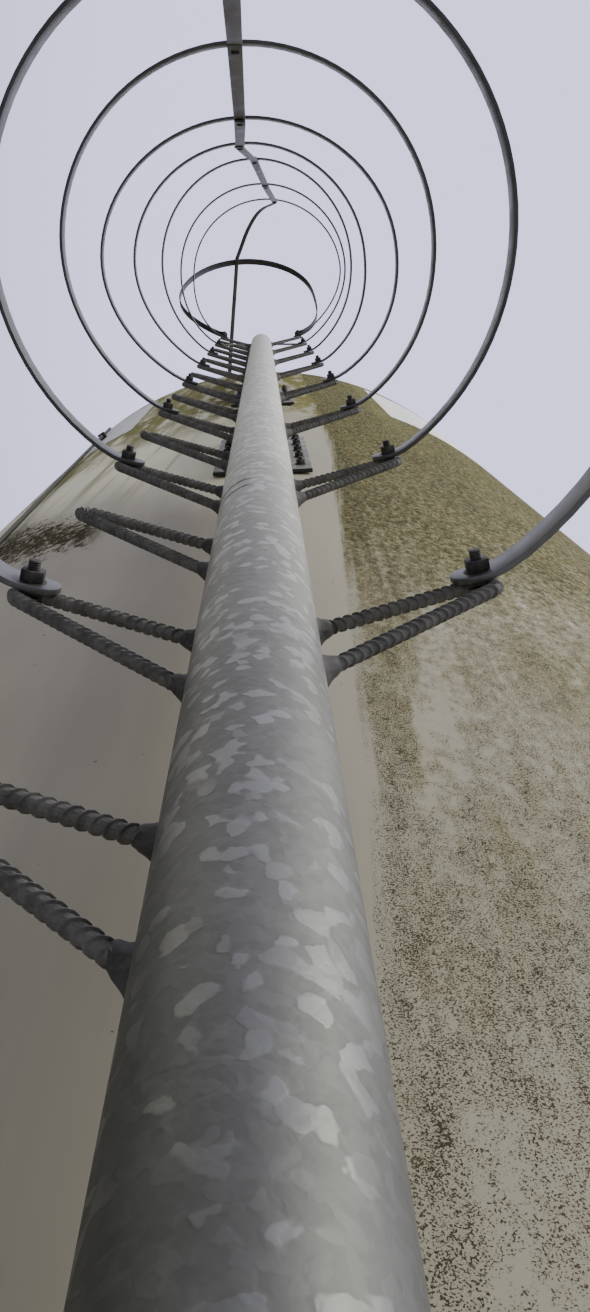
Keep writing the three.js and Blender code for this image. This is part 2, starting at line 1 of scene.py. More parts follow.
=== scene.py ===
# %% [markdown]
# # A farm grain silo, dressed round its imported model
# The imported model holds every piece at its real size. This script keeps it as a fixed frame and makes the
# looks: smooth shells, ribbed step bars, nuts with threads, and a weathered finish on each surface.
# Everything is in metres, +Z up, with the ladder on the -Y side.

# %% Load the frame
from math import acos, ceil, cos, degrees, hypot, pi, radians, sin, tan

import bpy
from mathutils import Matrix, Vector


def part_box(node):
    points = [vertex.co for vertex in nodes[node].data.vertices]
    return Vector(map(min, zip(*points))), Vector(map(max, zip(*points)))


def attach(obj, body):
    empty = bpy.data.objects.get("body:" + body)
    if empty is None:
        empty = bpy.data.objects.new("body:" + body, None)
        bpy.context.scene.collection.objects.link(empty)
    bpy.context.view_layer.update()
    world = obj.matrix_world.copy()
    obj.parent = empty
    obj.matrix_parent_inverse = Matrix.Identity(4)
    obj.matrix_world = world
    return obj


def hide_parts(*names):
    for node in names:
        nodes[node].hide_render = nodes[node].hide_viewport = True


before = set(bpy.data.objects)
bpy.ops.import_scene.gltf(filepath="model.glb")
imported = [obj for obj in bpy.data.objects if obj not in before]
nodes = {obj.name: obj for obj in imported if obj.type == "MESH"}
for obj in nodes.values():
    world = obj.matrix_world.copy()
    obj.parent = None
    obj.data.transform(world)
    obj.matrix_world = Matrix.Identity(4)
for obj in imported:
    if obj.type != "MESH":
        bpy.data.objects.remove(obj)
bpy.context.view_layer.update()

# %% [markdown]
# ## Where things are
# The silo's axis and the pole's axis come from the frame, so a new model moves the dressing with it. The
# ladder is built in a frame of its own, with the pole's axis at the origin, and is turned and moved as a
# whole at the end.

# %% Axes and main sizes from the frame
roof_low, roof_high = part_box("roof_cone")
wall_low, wall_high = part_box("wall_front")
foot_low, foot_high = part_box("foot_plate_front")
leg_low, leg_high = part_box("leg_right")
SILO_X = (roof_low.x + roof_high.x) / 2
SILO_Y = (roof_low.y + roof_high.y) / 2
SILO_CENTRE = (SILO_X, SILO_Y)
WALL_RADIUS = (roof_high.x - roof_low.x) / 2
WALL_BOTTOM = wall_low.z
WALL_TOP = wall_high.z
POLE_X = (foot_low.x + foot_high.x) / 2
POLE_Y = (foot_low.y + foot_high.y) / 2
PIPE_RADIUS = (leg_high.y - leg_low.y) / 2
LADDER_TURN = radians(1.4)
SEAT_GAP = 0.0003
print("silo axis", round(SILO_Y, 4), "pole axis", round(POLE_Y, 4), "wall radius", round(WALL_RADIUS, 4))

# %% [markdown]
# ## Small tools
# Blender's operators act on what is selected, so each helper picks its piece first. A finished piece stands
# at the origin, unturned and unscaled, with its place in its mesh, so a finish can be painted by height and
# angle.


# %% Pick a piece and open its mesh
def select_none():
    """Leaves object mode with nothing selected."""
    if bpy.context.object and bpy.context.object.mode != "OBJECT":
        bpy.ops.object.mode_set(mode="OBJECT")
    bpy.ops.object.select_all(action="DESELECT")


def pick(*pieces):
    select_none()
    for piece in pieces:
        piece.select_set(True)
    bpy.context.view_layer.objects.active = pieces[0]


def open_mesh(piece):
    """Edit mode, with the whole mesh selected."""
    pick(piece)
    bpy.ops.object.mode_set(mode="EDIT")
    bpy.ops.mesh.select_all(action="SELECT")


def close_mesh():
    bpy.ops.object.mode_set(mode="OBJECT")


# %% Clean and smooth a mesh
def modify(piece, kind, **settings):
    """Adds a modifier, sets it and applies it."""
    pick(piece)
    modifier = piece.modifiers.new(kind.lower(), kind)
    for name, value in settings.items():
        setattr(modifier, name, value)
    bpy.ops.object.modifier_apply(modifier=modifier.name)


def bevel(piece, width, angle, segments=2):
    """Bevels every edge that is sharper than an angle."""
    limit = {"limit_method": "ANGLE", "angle_limit": radians(angle)}
    modify(piece, "BEVEL", width=width, segments=segments, **limit)


def face_outwards(piece):
    """Merges doubles and turns every face outwards."""
    open_mesh(piece)
    bpy.ops.mesh.remove_doubles(threshold=0.00001)
    bpy.ops.mesh.normals_make_consistent(inside=False)
    close_mesh()


def close_ends(piece):
    """Caps the open ends of a tube."""
    open_mesh(piece)
    bpy.ops.mesh.fill_holes(sides=0)
    bpy.ops.mesh.normals_make_consistent(inside=False)
    close_mesh()


def smooth(piece, angle=35):
    pick(piece)
    bpy.ops.object.shade_smooth_by_angle(angle=radians(angle))


# %% Add, copy, join and drop pieces
def add_object(name, data):
    piece = bpy.data.objects.new(name, data)
    bpy.context.scene.collection.objects.link(piece)
    return piece


def place_in_mesh(piece):
    """Puts the object's place, turn and size into its mesh, and the object at the origin."""
    pick(piece)
    bpy.ops.object.transform_apply(location=True, rotation=True, scale=True)


def own_copy(piece):
    """A copy with its own mesh, free of parent and tags."""
    twin = piece.copy()
    twin.data = piece.data.copy()
    twin.parent = None
    for key in list(twin.keys()):
        del twin[key]
    bpy.context.scene.collection.objects.link(twin)
    return twin


def copy_to(master, place, facing=None):
    """A copy at a place. Where it has to face a direction, its +Z is turned to it."""
    twin = own_copy(master)
    if facing is not None:
        twin.rotation_euler = Vector(facing).to_track_quat("Z", "Y").to_euler()
    twin.location = place
    place_in_mesh(twin)
    return twin


def join(name, pieces):
    """Joins pieces into one object with one mesh."""
    pick(*pieces)
    if len(pieces) > 1:
        bpy.ops.object.join()
    whole = bpy.context.object
    whole.name = name
    whole.data.name = name
    return whole


def drop(piece):
    pick(piece)
    bpy.ops.object.delete()


# %% Dress a finished piece
def dress(piece, finish, slot, *replaced):
    """Gives a piece its material, puts it under the root body and hides the CAD nodes that it stands for. The
    slot is not used.
    """
    piece.data.materials.clear()
    piece.data.materials.append(finish)
    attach(piece, "root")
    if replaced:
        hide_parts(*replaced)
    triangles = sum(len(polygon.vertices) - 2 for polygon in piece.data.polygons)
    print(piece.name, "triangles", triangles)


def dress_on_pole(piece, angle, finish, slot, *replaced):
    """Turns a piece that was made round the origin with the ladder, moves it to the pole and dresses it."""
    piece.rotation_euler.z = LADDER_TURN
    piece.location = (POLE_X, POLE_Y, 0)
    place_in_mesh(piece)
    smooth(piece, angle)
    dress(piece, finish, slot, *replaced)


# %% [markdown]
# ## Shader maths as Python
# A finish is a graph of nodes. Written by hand, a sum of three masks takes several lines, so one small
# class wraps a node's output and lets Python's operators add the Math nodes. Any other node comes from one
# method.


# %% A value in a shader
def operator(operation, reflected=False):
    """The method behind one of Python's operators."""

    def method(self, other):
        operands = (other, self) if reflected else (self, other)
        return self.maths(operation, *operands)

    return method


class Value:
    """One output of a node. Arithmetic on it adds Math nodes."""

    def __init__(self, graph, socket):
        self.graph = graph
        self.socket = socket

    def maths(self, operation, *operands):
        return self.graph.add("ShaderNodeMath", {"operation": operation}, dict(enumerate(operands)))

    def __abs__(self):
        return self.maths("ABSOLUTE", self)

    __add__ = operator("ADD")
    __radd__ = operator("ADD", True)
    __sub__ = operator("SUBTRACT")
    __rsub__ = operator("SUBTRACT", True)
    __mul__ = operator("MULTIPLY")
    __rmul__ = operator("MULTIPLY", True)
    __truediv__ = operator("DIVIDE")
    __rtruediv__ = operator("DIVIDE", True)
    least = operator("MINIMUM")
    most = operator("MAXIMUM")


# %% A graph of nodes
class Graph:
    """A node tree that Values are added to."""

    def __init__(self, tree):
        self.tree = tree

    def add(self, kind, settings=None, inputs=None, output=0):
        node = self.tree.nodes.new(kind)
        for name, value in (settings or {}).items():
            setattr(node, name, value)
        for socket, value in (inputs or {}).items():
            if isinstance(value, Value):
                self.tree.links.new(value.socket, node.inputs[socket])
            else:
                node.inputs[socket].default_value = value
        return Value(self, node.outputs[output])

    def rise(self, value, low, high, start=0.0, end=1.0):
        """A smooth step from start to end while the value goes from low to high."""
        settings = {"interpolation_type": "SMOOTHSTEP"}
        return self.add("ShaderNodeMapRange", settings, {0: value, 1: low, 2: high, 3: start, 4: end})

    def fall(self, value, low, high):
        """A smooth step from 1 down to 0."""
        return self.rise(value, low, high, 1, 0)

    def near(self, value, inner, outer):
        """1 where a value is close to 0, and 0 where it is far from it on either side."""
        return self.fall(abs(value), inner, outer)

    def blend(self, share, first, second):
        """The first colour where share is 0, and the second where it is 1."""
        return self.add("ShaderNodeMix", {"data_type": "RGBA"}, {0: share, 6: first, 7: second}, 2)

    def split(self, vector):
        """The three parts of a vector."""
        node = self.tree.nodes.new("ShaderNodeSeparateXYZ")
        self.tree.links.new(vector.socket, node.inputs[0])
        return [Value(self, output) for output in node.outputs]


# %% A finish
class Finish(Graph):
    """A material on the usual shader. Sockets that never change are set here, by name."""

    def __init__(self, name, **constants):
        self.material = bpy.data.materials.new(name)
        self.material.use_nodes = True
        super().__init__(self.material.node_tree)
        self.shader = self.tree.nodes["Principled BSDF"]
        for socket, value in constants.items():
            self.shader.inputs[socket.replace("_", " ")].default_value = value
        self.place = self.add("ShaderNodeTexCoord", output="Object")

    def feed(self, socket, value):
        self.tree.links.new(value.socket, self.shader.inputs[socket])

    def stretched(self, x, y, z):
        """The place, scaled along each axis, for patterns that are longer one way."""
        return self.add("ShaderNodeVectorMath", {"operation": "MULTIPLY"}, {0: self.place, 1: (x, y, z)})

    def point(self, x, y, z):
        return self.add("ShaderNodeCombineXYZ", None, {0: x, 1: y, 2: z})

    def noise(self, scale, detail=2.0, roughness=0.5, vector=None, output=0):
        inputs = {"Vector": vector or self.place, "Scale": scale, "Detail": detail, "Roughness": roughness}
        return self.add("ShaderNodeTexNoise", None, inputs, output)

    def cells(self, scale, vector, softness):
        """One random number for each cell, blended a little over the cells' edges."""
        inputs = {"Vector": vector, "Scale": scale, "Smoothness": softness}
        shades = self.add("ShaderNodeTexVoronoi", {"feature": "SMOOTH_F1"}, inputs, "Color")
        return self.split(shades)[0]

    def tint(self, shade, share):
        """A colour made lighter or darker by a number."""
        return self.add("ShaderNodeVectorMath", {"operation": "SCALE"}, {0: shade, "Scale": share})

    def bump(self, height, distance, strength=1.0):
        inputs = {"Height": height, "Distance": distance, "Strength": strength}
        self.feed("Normal", self.add("ShaderNodeBump", None, inputs))


def colour(red, green, blue):
    return (red, green, blue, 1.0)


# %% [markdown]
# ## Finish of the plastic shell
# The shell is glass fibre with a beige gelcoat, and weather has painted it. Rain and light reach a round
# wall by height and by the angle round its axis, so each mask below is a number from 0 to 1 made from those
# two and some noise. The last cell lays the colours over one another. In these cells f is the finish.

# %% Shell colours
GELCOAT = colour(0.435, 0.416, 0.298)
# Gelcoat painted darker as painted shade for the wall left of the ladder and, in part, the strip that the
# pole keeps dry. The roof's colour starts from it too.
GELCOAT_SHADED = colour(0.41, 0.385, 0.280)
TAN_FILM = colour(0.335, 0.303, 0.138)
CREAM = colour(0.97, 0.94, 0.64)
ALGAE_DOT = colour(0.034, 0.035, 0.015)
ALGAE_BROWN = colour(0.090, 0.062, 0.026)
ALGAE_FILM = colour(0.185, 0.170, 0.042)
ALGAE_FRESH = colour(0.29, 0.29, 0.10)
MOSS = colour(0.052, 0.046, 0.012)
BAND_WHITE = colour(0.90, 0.90, 0.86)

# %% Height, turn and loose patterns
f = Finish("weathered_glass_fibre", Specular_IOR_Level=0.1)
x, y, z = f.split(f.place)
turn = f.add("ShaderNodeMath", {"operation": "ARCTAN2"}, {0: x - SILO_X, 1: SILO_Y - y}) * degrees(1)
far_side = f.rise(abs(turn), 55, 110)
run = turn - (z - 2.2) * 2.4
streaks = f.noise(1, 3, 0.6, f.point(run * 0.55, z * 0.9, 0))
fine_streaks = f.noise(1, 2, 0.6, f.point(run * 1.9, z * 2.2, 0))
tall = f.stretched(1, 1, 0.3)
oval = f.stretched(1, 1, 0.5)
patches = f.noise(11, 3, 0.6, tall)
clusters = f.noise(70, 3, 0.7, f.stretched(1, 1, 0.6))
print("nodes for height, turn and patterns:", len(f.tree.nodes))

# %% [markdown]
# ### Algae
# Algae grow to the right of the ladder as small dark dots, thicker beside the strip that the pole keeps
# dry. One clean run of water crosses them low down. Higher up a tan and then a green film joins the dots,
# with pale flecks and dark clumps in it. Two fine noises with a threshold give dots and grains, which no
# soft noise would.

# %% Where algae grow
kept_dry = ((z - 1.95) * 2.13 + 2.8).least(7.6) + (fine_streaks - 0.5) * 2.0 - f.rise(z, 1.9, 2.4, 0.9, 0)
right = f.rise(turn - kept_dry, -0.2, 0.9) * f.fall(abs(turn), 110, 165)
run_middle = (z - 2.35) * 8 + 6.0
clean_run = f.near(turn - run_middle, 0.3, 1.4) * f.fall(z, 2.75, 3.0) * f.rise(z, 2.15, 2.4)
beside_dry = f.near(turn - kept_dry - 1.1, 0.5, 1.6) * f.rise(z, 1.9, 2.3) * f.rise(z, 3.6, 4.4, 1, 0.3)
uneven = (streaks - 0.5) * 0.8 + (fine_streaks - 0.5) * 0.5 + (patches - 0.5) * 0.9 + (clusters - 0.5) * 2.0
growth = 0.54 + uneven * f.rise(z, 2.5, 3.6, 1, 0.5) + beside_dry * 0.25 - clean_run * 0.42
growth = growth + f.rise(z, 1.7, 2.1, -0.3, 0) + f.rise(z, 2.2, 4.2, 0, 0.3)
growth = right * growth.most(0.0).least(1.2) + far_side * patches * 0.7
print("nodes with algae growth:", len(f.tree.nodes))

# %% Dots and grains
specks = f.noise(880, 2, 0.6)
grains = f.noise(400, 3, 0.75)
dotted = f.rise(specks + growth * 0.12, 0.60, 0.645) * f.rise(growth, 0.0, 0.3)
dotted = dotted.most(f.rise(grains + growth * 0.12, 0.66, 0.73) * f.rise(growth, 0.05, 0.4))
lone = f.rise(f.noise(75, 2, 0.6), 0.745, 0.765)
dot_shade = f.blend(f.rise(f.noise(28, 2, 0.6, tall), 0.45, 0.75), ALGAE_DOT, ALGAE_BROWN)

# %% Films, flecks and clumps
height = z + (patches - 0.5) * 1.3 + (fine_streaks - 0.5) * 0.7
tan_film = f.rise(height, 2.1, 3.0, 0.25, 0.95) * right * f.rise(growth, 0.05, 0.6, 0.35, 1.0)
film = (f.rise(height, 2.7, 3.4, 0, 0.70) + f.rise(height, 3.7, 4.3, 0, 0.22)) * right
film = film.most(far_side * f.rise(z, 3.0, 6.2) * f.rise(streaks, 0.35, 0.65) * 0.8)
top_film = f.rise(z + (f.noise(7, 4, 0.65, tall) - 0.5) * 1.2, 4.4, 5.1) * f.rise(abs(turn), 50, 90, 1, 0.4)
film = film.most(top_film * f.rise(f.noise(16, 4, 0.65, tall), 0.34, 0.56)).least(1)
mottle = f.noise(120, 3, 0.75, oval)
flecks = f.rise(mottle, 0.53, 0.58) * f.rise(z, 2.3, 3.3) * right
clumps = f.fall(mottle, 0.41, 0.46) * f.rise(z, 2.3, 3.3) * right

# %% [markdown]
# ### Wash and moss on the left
# Left of the ladder the wall stays bare low down. Higher up it is washed to a cream, with fresh green in
# slanting folds, and a ragged line of moss lies where the wash begins. The line's height changes with the
# turn round the axis, and noise roughens it, which is simpler than painting it by hand.

# %% Wash, fresh green and moss
BAND_BOTTOM = 5.33
BAND_LEFT = -22.4
BAND_RIGHT = 21.5
left = f.fall(turn, -4, -1.5) * f.rise(turn, -75, -55)
lean = turn - (z - 4.0) * 3.3
folds = f.noise(1, 3, 0.6, f.point(lean * 0.42, z * 0.5, 0))
moss_line = 3.47 - (turn + 15) * 0.021
wash_and_sheen = left * f.rise(z - moss_line + (f.noise(5, 3, 0.6, tall) - 0.5) * 0.5, 0.0, 0.65)
fresh = wash_and_sheen * f.rise(folds + f.rise(z, 4.2, 5.3, 0, 0.12), 0.50, 0.64) * f.fall(turn, -12, -7)
fringe = f.near(turn - BAND_RIGHT + 1.6, 0.4, 2.4).most(f.near(turn - BAND_LEFT - 1.8, 0.4, 3.2))
fresh = fresh.most(fringe * f.rise(z, 4.6, 5.3) * f.rise(f.noise(12, 3, 0.6, tall), 0.30, 0.50))
lumps = f.noise(64, 5, 0.8, f.stretched(1, 1, 0.62))
moss_depth = f.rise(turn, -27, -14, 0.30, 0.13)
moss = f.fall(abs(z - moss_line) / moss_depth + (0.5 - lumps) * 5.0, 0.35, 0.80)
moss = moss * f.fall(turn, -15.5, -12.5) * f.rise(turn, -46, -36)
pale_bits = f.rise(f.noise(90, 3, 0.7, oval), 0.55, 0.62)
print("nodes with wash and moss:", len(f.tree.nodes))

# %% [markdown]
# ### White band, and all colours together
# A plain white band goes round the top, but not behind the ladder. It is worn in spots. It could be a thin
# mesh of its own, but a mask with hard ends keeps the wall in one piece. The roof above it has the same
# film as the wall, in patches.

# %% White band
inside_band = f.rise(z + (clusters - 0.5) * 0.10, BAND_BOTTOM - 0.02, BAND_BOTTOM + 0.02)
right_end = f.rise(turn, BAND_RIGHT - 0.15, BAND_RIGHT + 0.15)
left_end = f.fall(turn, BAND_LEFT - 0.15, BAND_LEFT + 0.15)
band = inside_band * right_end.most(left_end) * f.fall(z, WALL_TOP - 0.10, WALL_TOP - 0.09)
worn = f.rise(f.noise(30, 4, 0.7) + patches * 0.3, 0.80, 0.86)

# %% Colours over one another
roof_shade = f.blend(f.rise(f.noise(4, 5, 0.65), 0.34, 0.64, 0.25, 0.9), GELCOAT_SHADED, ALGAE_FILM)
# Painted shade: left of the ladder, and in part on the strip that the pole keeps dry, the gelcoat is painted
# darker.
surface = f.blend(f.rise(turn, -6, 3) * f.rise(right, 0, 1, 0.4, 1), GELCOAT_SHADED, GELCOAT)
coats = [
    (wash_and_sheen * 0.95, CREAM),
    (tan_film, TAN_FILM),
    (film, ALGAE_FILM),
    (flecks * 0.24, CREAM),
    (clumps * 0.72, ALGAE_DOT),
    (fresh * 0.8, ALGAE_FRESH),
    (dotted.most(lone * 0.8) * 0.93, dot_shade),
    (moss * f.rise(pale_bits, 0, 1, 1, 0.35), MOSS),
    (band * (1 - worn * 0.5), BAND_WHITE),
    (f.rise(z, WALL_TOP + 0.01, WALL_TOP + 0.06), roof_shade),
]
for share, coat in coats:
    surface = f.blend(share, surface, coat)
grime = f.rise(f.noise(1.0, 4, 0.65, f.stretched(9, 9, 0.8)), 0.3, 0.8, 1.05, 0.90)
f.feed("Base Color", f.tint(surface, grime))
f.feed("Roughness", f.rise(film.most(dotted).most(moss), 0, 1, 0.62, 0.95))
f.bump(f.noise(14, 2, 0.5, tall) * 0.5 + dotted * 0.2 + moss * lumps * 3.0 + film * mottle * 0.5, 0.0008, 0.7)
shell_material = f.material
print("shell finish nodes:", len(f.tree.nodes), "coats:", len(coats))

# %% [markdown]
# ## Finish of the galvanised pipes
# Hot-dip zinc freezes into flakes about a centimetre across. Most have weathered to one grey, and some stay
# pale with edges that are a little soft. A cell pattern gives each flake one random number, and the highest
# are pale. Towards the top the zinc is painted paler, a painted reflection of the bright sky, and a little
# warmer. Where two lengths meet, a broken dark line shows. Two scratches run across the pole's left front,
# and the brackets' lower edges get a painted shadow line. These lines are masks by height, so they need no
# mesh of their own.

# %% Galvanised steel
ZINC = colour(0.147, 0.150, 0.130)
ZINC_PALE = colour(0.272, 0.277, 0.245)
ZINC_DARK = colour(0.112, 0.115, 0.100)
ZINC_WARM = colour(0.205, 0.205, 0.155)
# Colour of the dark lines: weld seams, scratches, and the painted shadow at the brackets' lower edges.
SEAM_AND_SHADOW_DARK = colour(0.02, 0.02, 0.017)
SKIN_TINT = colour(1.0, 0.98, 0.82)
# Heights over which the zinc is painted from darker to paler, a painted reflection of the bright sky.
SHEEN_FROM = 1.5
SHEEN_TO = 3.9
WOBBLE = 0.007
SCRATCHES = (2.778, 2.818)


def zinc_finish(name="galvanised_steel", flake=0.0098, shade=1.0, dark_lines=(), broken=0.42, scratches=()):
    f = Finish(name, Metallic=0.7, Specular_Tint=SKIN_TINT)
    x, y, height = f.split(f.place)
    bend = {0: f.noise(110, output="Color"), 1: (WOBBLE, WOBBLE, WOBBLE), 2: f.place}
    shifted = f.add("ShaderNodeVectorMath", {"operation": "MULTIPLY_ADD"}, bend)
    number = f.cells(1 / flake, shifted, 0.35)
    small = f.cells(2.1 / flake, shifted, 0.4)
    broad = f.noise(5, 3, 0.6)
    pale = f.rise(number + (f.noise(12, 2, 0.6) - 0.5) * 0.5, 0.58, 0.88)
    surface = f.blend(f.rise(broad, 0.3, 0.7), ZINC_DARK, ZINC)
    surface = f.blend(small * 0.20, surface, ZINC_PALE)
    surface = f.blend(pale * f.rise(height, 2.2, 2.9, 0.45, 0.65), surface, ZINC_PALE)
    surface = f.blend(f.rise(height, 1.9, 3.2, 0, 0.35), surface, ZINC_WARM)
    knocks = f.near(f.noise(34, 1, 0.5, f.stretched(1, 1, 0.5)) - 0.66, 0.004, 0.014)
    surface = f.blend(knocks * f.rise(height, 2.5, 3.0) * 0.6, surface, ZINC_DARK)
    # Dark lines round a piece at given heights: weld seams on the pole, and on the plates a painted shadow
    # along the brackets' lower edges.
    for line_height in dark_lines:
        line = f.near(height - line_height + (number - 0.5) * 0.003, 0.0015, 0.0060)
        line = line * f.rise(f.noise(22, 2, 0.5), broken, broken + 0.13)
        surface = f.blend(line * 0.9, surface, SEAM_AND_SHADOW_DARK)
    for scratch in scratches:
        line = f.near(height - scratch + (number - 0.5) * 0.004, 0.0030, 0.0065)
        front_left = f.fall(x, POLE_X - 0.014, POLE_X - 0.002) * f.fall(y, POLE_Y - 0.012, POLE_Y)
        surface = f.blend(line * front_left, surface, SEAM_AND_SHADOW_DARK)
    # Painted reflection: the colour is scaled from 0.8 low down to 3.05 high up, in place of the bright sky
    # that the pipes reflect higher up.
    wash_and_sheen = f.rise(height, SHEEN_FROM, SHEEN_TO, 0.8, 3.05)
    f.feed("Base Color", f.tint(surface, wash_and_sheen * shade))
    f.feed("Roughness", f.rise(pale + broad * 0.5, 0, 1.2, 0.58, 0.46))
    f.bump(f.noise(60, 3, 0.6) + number * 0.4 + small * 0.2, 0.0004, 0.8)
    return f.material


pole_seams = [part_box("step_pole_" + level)[1].z for level in ("lower", "middle")]
# Heights of the brackets' lower edges, where the plates get a solid painted shadow line.
plate_shadow_edges = [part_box("bracket_front_" + level)[0].z for level in ("lower", "upper")]
zinc_material = zinc_finish()
pole_material = zinc_finish("galvanised_pole", dark_lines=pole_seams, scratches=SCRATCHES)
# The plates are scaled darker overall. This partly offsets the painted sky reflection and is partly painted
# shade for the brackets' dark undersides.
plate_material = zinc_finish("galvanised_plate", 0.016, 0.42, plate_shadow_edges, 0.0)
print("seams at", [round(line_height, 3) for line_height in pole_seams])

# %% [markdown]
# ## Finish of the bars, bolts and hoops
# The step bars are dull dark grey from use, in uneven patches. Hoops and straps are flat bar with a grey
# skin that runs darker and brown in places. The lowest hoop is painted paler, a painted reflection of the sky
# on its faces. Nuts and threads are nearly black, with a little rust. They differ mostly in their shades, so
# one function makes them all.

# %% Dark steel
RUST = colour(0.085, 0.050, 0.030)
# Below the first height a bar's colour is scaled by its last argument as a painted sky reflection. Above the
# second height it is left as it is.
LOW_SHEEN_BELOW = 2.50
LOW_SHEEN_ENDS = 2.80


def bar_finish(name, dark, pale, rust_share, roughness=0.62, grain=90, metal=0.3, low_sheen=1.0):
    f = Finish(name, Metallic=metal, Specular_Tint=SKIN_TINT)
    patches = f.noise(grain, 4, 0.7)
    rust = f.rise(f.noise(grain * 0.5, 4, 0.7), 0.56, 0.72) * rust_share
    surface = f.blend(f.rise(patches, 0.32, 0.70), colour(*dark), colour(*pale))
    surface = f.blend(rust, surface, RUST)
    height = f.split(f.place)[2]
    # Painted reflection: bars low down are scaled paler. Only the lowest hoop uses it.
    f.feed("Base Color", f.tint(surface, f.rise(height, LOW_SHEEN_BELOW, LOW_SHEEN_ENDS, low_sheen, 1.0)))
    f.feed("Roughness", f.rise(patches, 0.3, 0.7, roughness - 0.08, roughness + 0.10))
    f.bump(f.noise(grain, 1), 0.0003, 0.4)
    return f.material


step_material = bar_finish("step_bar_steel", (0.090, 0.088, 0.077), (0.205, 0.202, 0.180), 0.15)
weld_material = bar_finish("weld_bead", (0.045, 0.043, 0.038), (0.105, 0.101, 0.09), 0.2, 0.68, 200, 0.1)
bolt_material = bar_finish("dark_bolts", (0.030, 0.027, 0.025), (0.080, 0.074, 0.068), 0.3)
hoop_shades = ((0.058, 0.060, 0.057), (0.094, 0.097, 0.094))
# The lowest hoop is painted 1.9 times paler, as a painted sky reflection.
hoop_material = bar_finish("hoop_flat_bar", *hoop_shades, 0.05, 0.40, 30, 0.6, 1.9)
strap_material = bar_finish("strap_flat_bar", (0.060, 0.056, 0.042), (0.102, 0.095, 0.072), 0.3, 0.5, 30)
rod_material = bar_finish("wall_rod_steel", (0.030, 0.033, 0.018), (0.070, 0.078, 0.045), 0.1)
print("materials:", len(bpy.data.materials))

# %% [markdown]
# ## Round shells
# The wall, the roof, the hopper and the pipes are all round. By hand one would draw a circle, extrude it
# upwards and scale each new ring, so the helper does just that. A shell then gets its thickness from
# Solidify.

# %% Rings that are extruded and scaled
SHELL_THICKNESS = 0.006


def raise_rings(profile, centre=(0, 0), lean=0, evenly=False):
    """Extrudes the selected ring through a list of radius and height. Its middle may lean towards +Y."""
    for (radius, height), (next_radius, next_height) in zip(profile, profile[1:]):
        rise = next_height - height
        share = next_radius / radius
        scale = (share, share, share if evenly else 1)
        pivot = (centre[0], centre[1] + next_height * lean, next_height)
        bpy.ops.mesh.extrude_edges_move(TRANSFORM_OT_translate={"value": (0, rise * lean, rise)})
        bpy.ops.transform.resize(value=scale, center_override=pivot)


def ring_stack(name, profile, sides, centre=(0, 0), cap_top=False):
    """A circle that is extruded from height to height, closed by a flat face where asked."""
    select_none()
    radius, height = profile[0]
    bpy.ops.mesh.primitive_circle_add(vertices=sides, radius=radius, location=(*centre, height))
    piece = bpy.context.object
    piece.name = name
    open_mesh(piece)
    raise_rings(profile, centre)
    if cap_top:
        bpy.ops.mesh.edge_face_add()
    close_mesh()
    place_in_mesh(piece)
    face_outwards(piece)
    return piece


def dress_shell(piece, *replaced, angle=35):
    """Gives a shell its thickness, inwards, and its finish."""
    modify(piece, "SOLIDIFY", thickness=SHELL_THICKNESS, offset=-1.0)
    smooth(piece, angle)
    dress(piece, shell_material, "shell", *replaced)


# %% [markdown]
# ### Wall
# The six wall segments of the model stand for one moulded wall, so the picture shows it in one piece. It
# has far more sides than the model, because its edge against the sky is close to the camera.

# %% Wall
ROUND_SIDES = 240
WALL_RINGS = 12
wall_nodes = [name for name in nodes if name.startswith("wall_") and name != "wall_rod"]
wall_rise = (WALL_TOP - WALL_BOTTOM) / WALL_RINGS
wall_profile = [(WALL_RADIUS, WALL_BOTTOM + wall_rise * ring) for ring in range(WALL_RINGS + 1)]
dress_shell(ring_stack("silo_wall", wall_profile, ROUND_SIDES, SILO_CENTRE), *wall_nodes)

# %% [markdown]
# ### Roof, hatch and hopper
# The shoulder turns in a short arc into the cone. The hatch has a collar and a lid with a turned-down
# skirt. The hopper is a straight cone that bends into the wall at its top. All are stacks of rings, like
# the wall, because each is round about one axis.

# %% Roof
ROOF_SLOPE = radians(32)
SHOULDER_RADIUS = 0.060
SHOULDER_STEPS = 10
collar_low, collar_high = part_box("hatch_collar")
HATCH_RADIUS = (collar_high.x - collar_low.x) / 2
roof_profile = []
for step in range(SHOULDER_STEPS + 1):
    angle = (pi / 2 - ROOF_SLOPE) * step / SHOULDER_STEPS
    radius = WALL_RADIUS - SHOULDER_RADIUS * (1 - cos(angle))
    roof_profile.append((radius, roof_low.z + SHOULDER_RADIUS * sin(angle)))
cone_radius, cone_height = roof_profile[-1]
roof_inner = HATCH_RADIUS - SHELL_THICKNESS
roof_profile.append((roof_inner, cone_height + (cone_radius - roof_inner) * tan(ROOF_SLOPE)))
dress_shell(ring_stack("silo_roof", roof_profile, ROUND_SIDES, SILO_CENTRE), "roof_cone")

# %% Hatch
HATCH_SIDES = 96
lid_low, lid_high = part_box("hatch_lid")
LID_RADIUS = (lid_high.x - lid_low.x) / 2
collar_profile = [(HATCH_RADIUS, roof_profile[-1][1] + SEAT_GAP), (HATCH_RADIUS, collar_high.z)]
dress_shell(ring_stack("roof_hatch_collar", collar_profile, HATCH_SIDES, SILO_CENTRE), "hatch_collar")
lid_rows = [(1.0, 0.0), (1.0, 0.36), (0.985, 0.52), (0.95, 0.60)]
lid_rows += [(0.8, 0.72), (0.5, 0.90), (0.2, 0.985), (0.02, 1.0)]
lid_height = lid_high.z - lid_low.z
lid_profile = [(LID_RADIUS * width, lid_low.z + lid_height * rise) for width, rise in lid_rows]
lid = ring_stack("roof_hatch_lid", lid_profile, HATCH_SIDES, SILO_CENTRE, cap_top=True)
dress_shell(lid, "hatch_lid", angle=50)

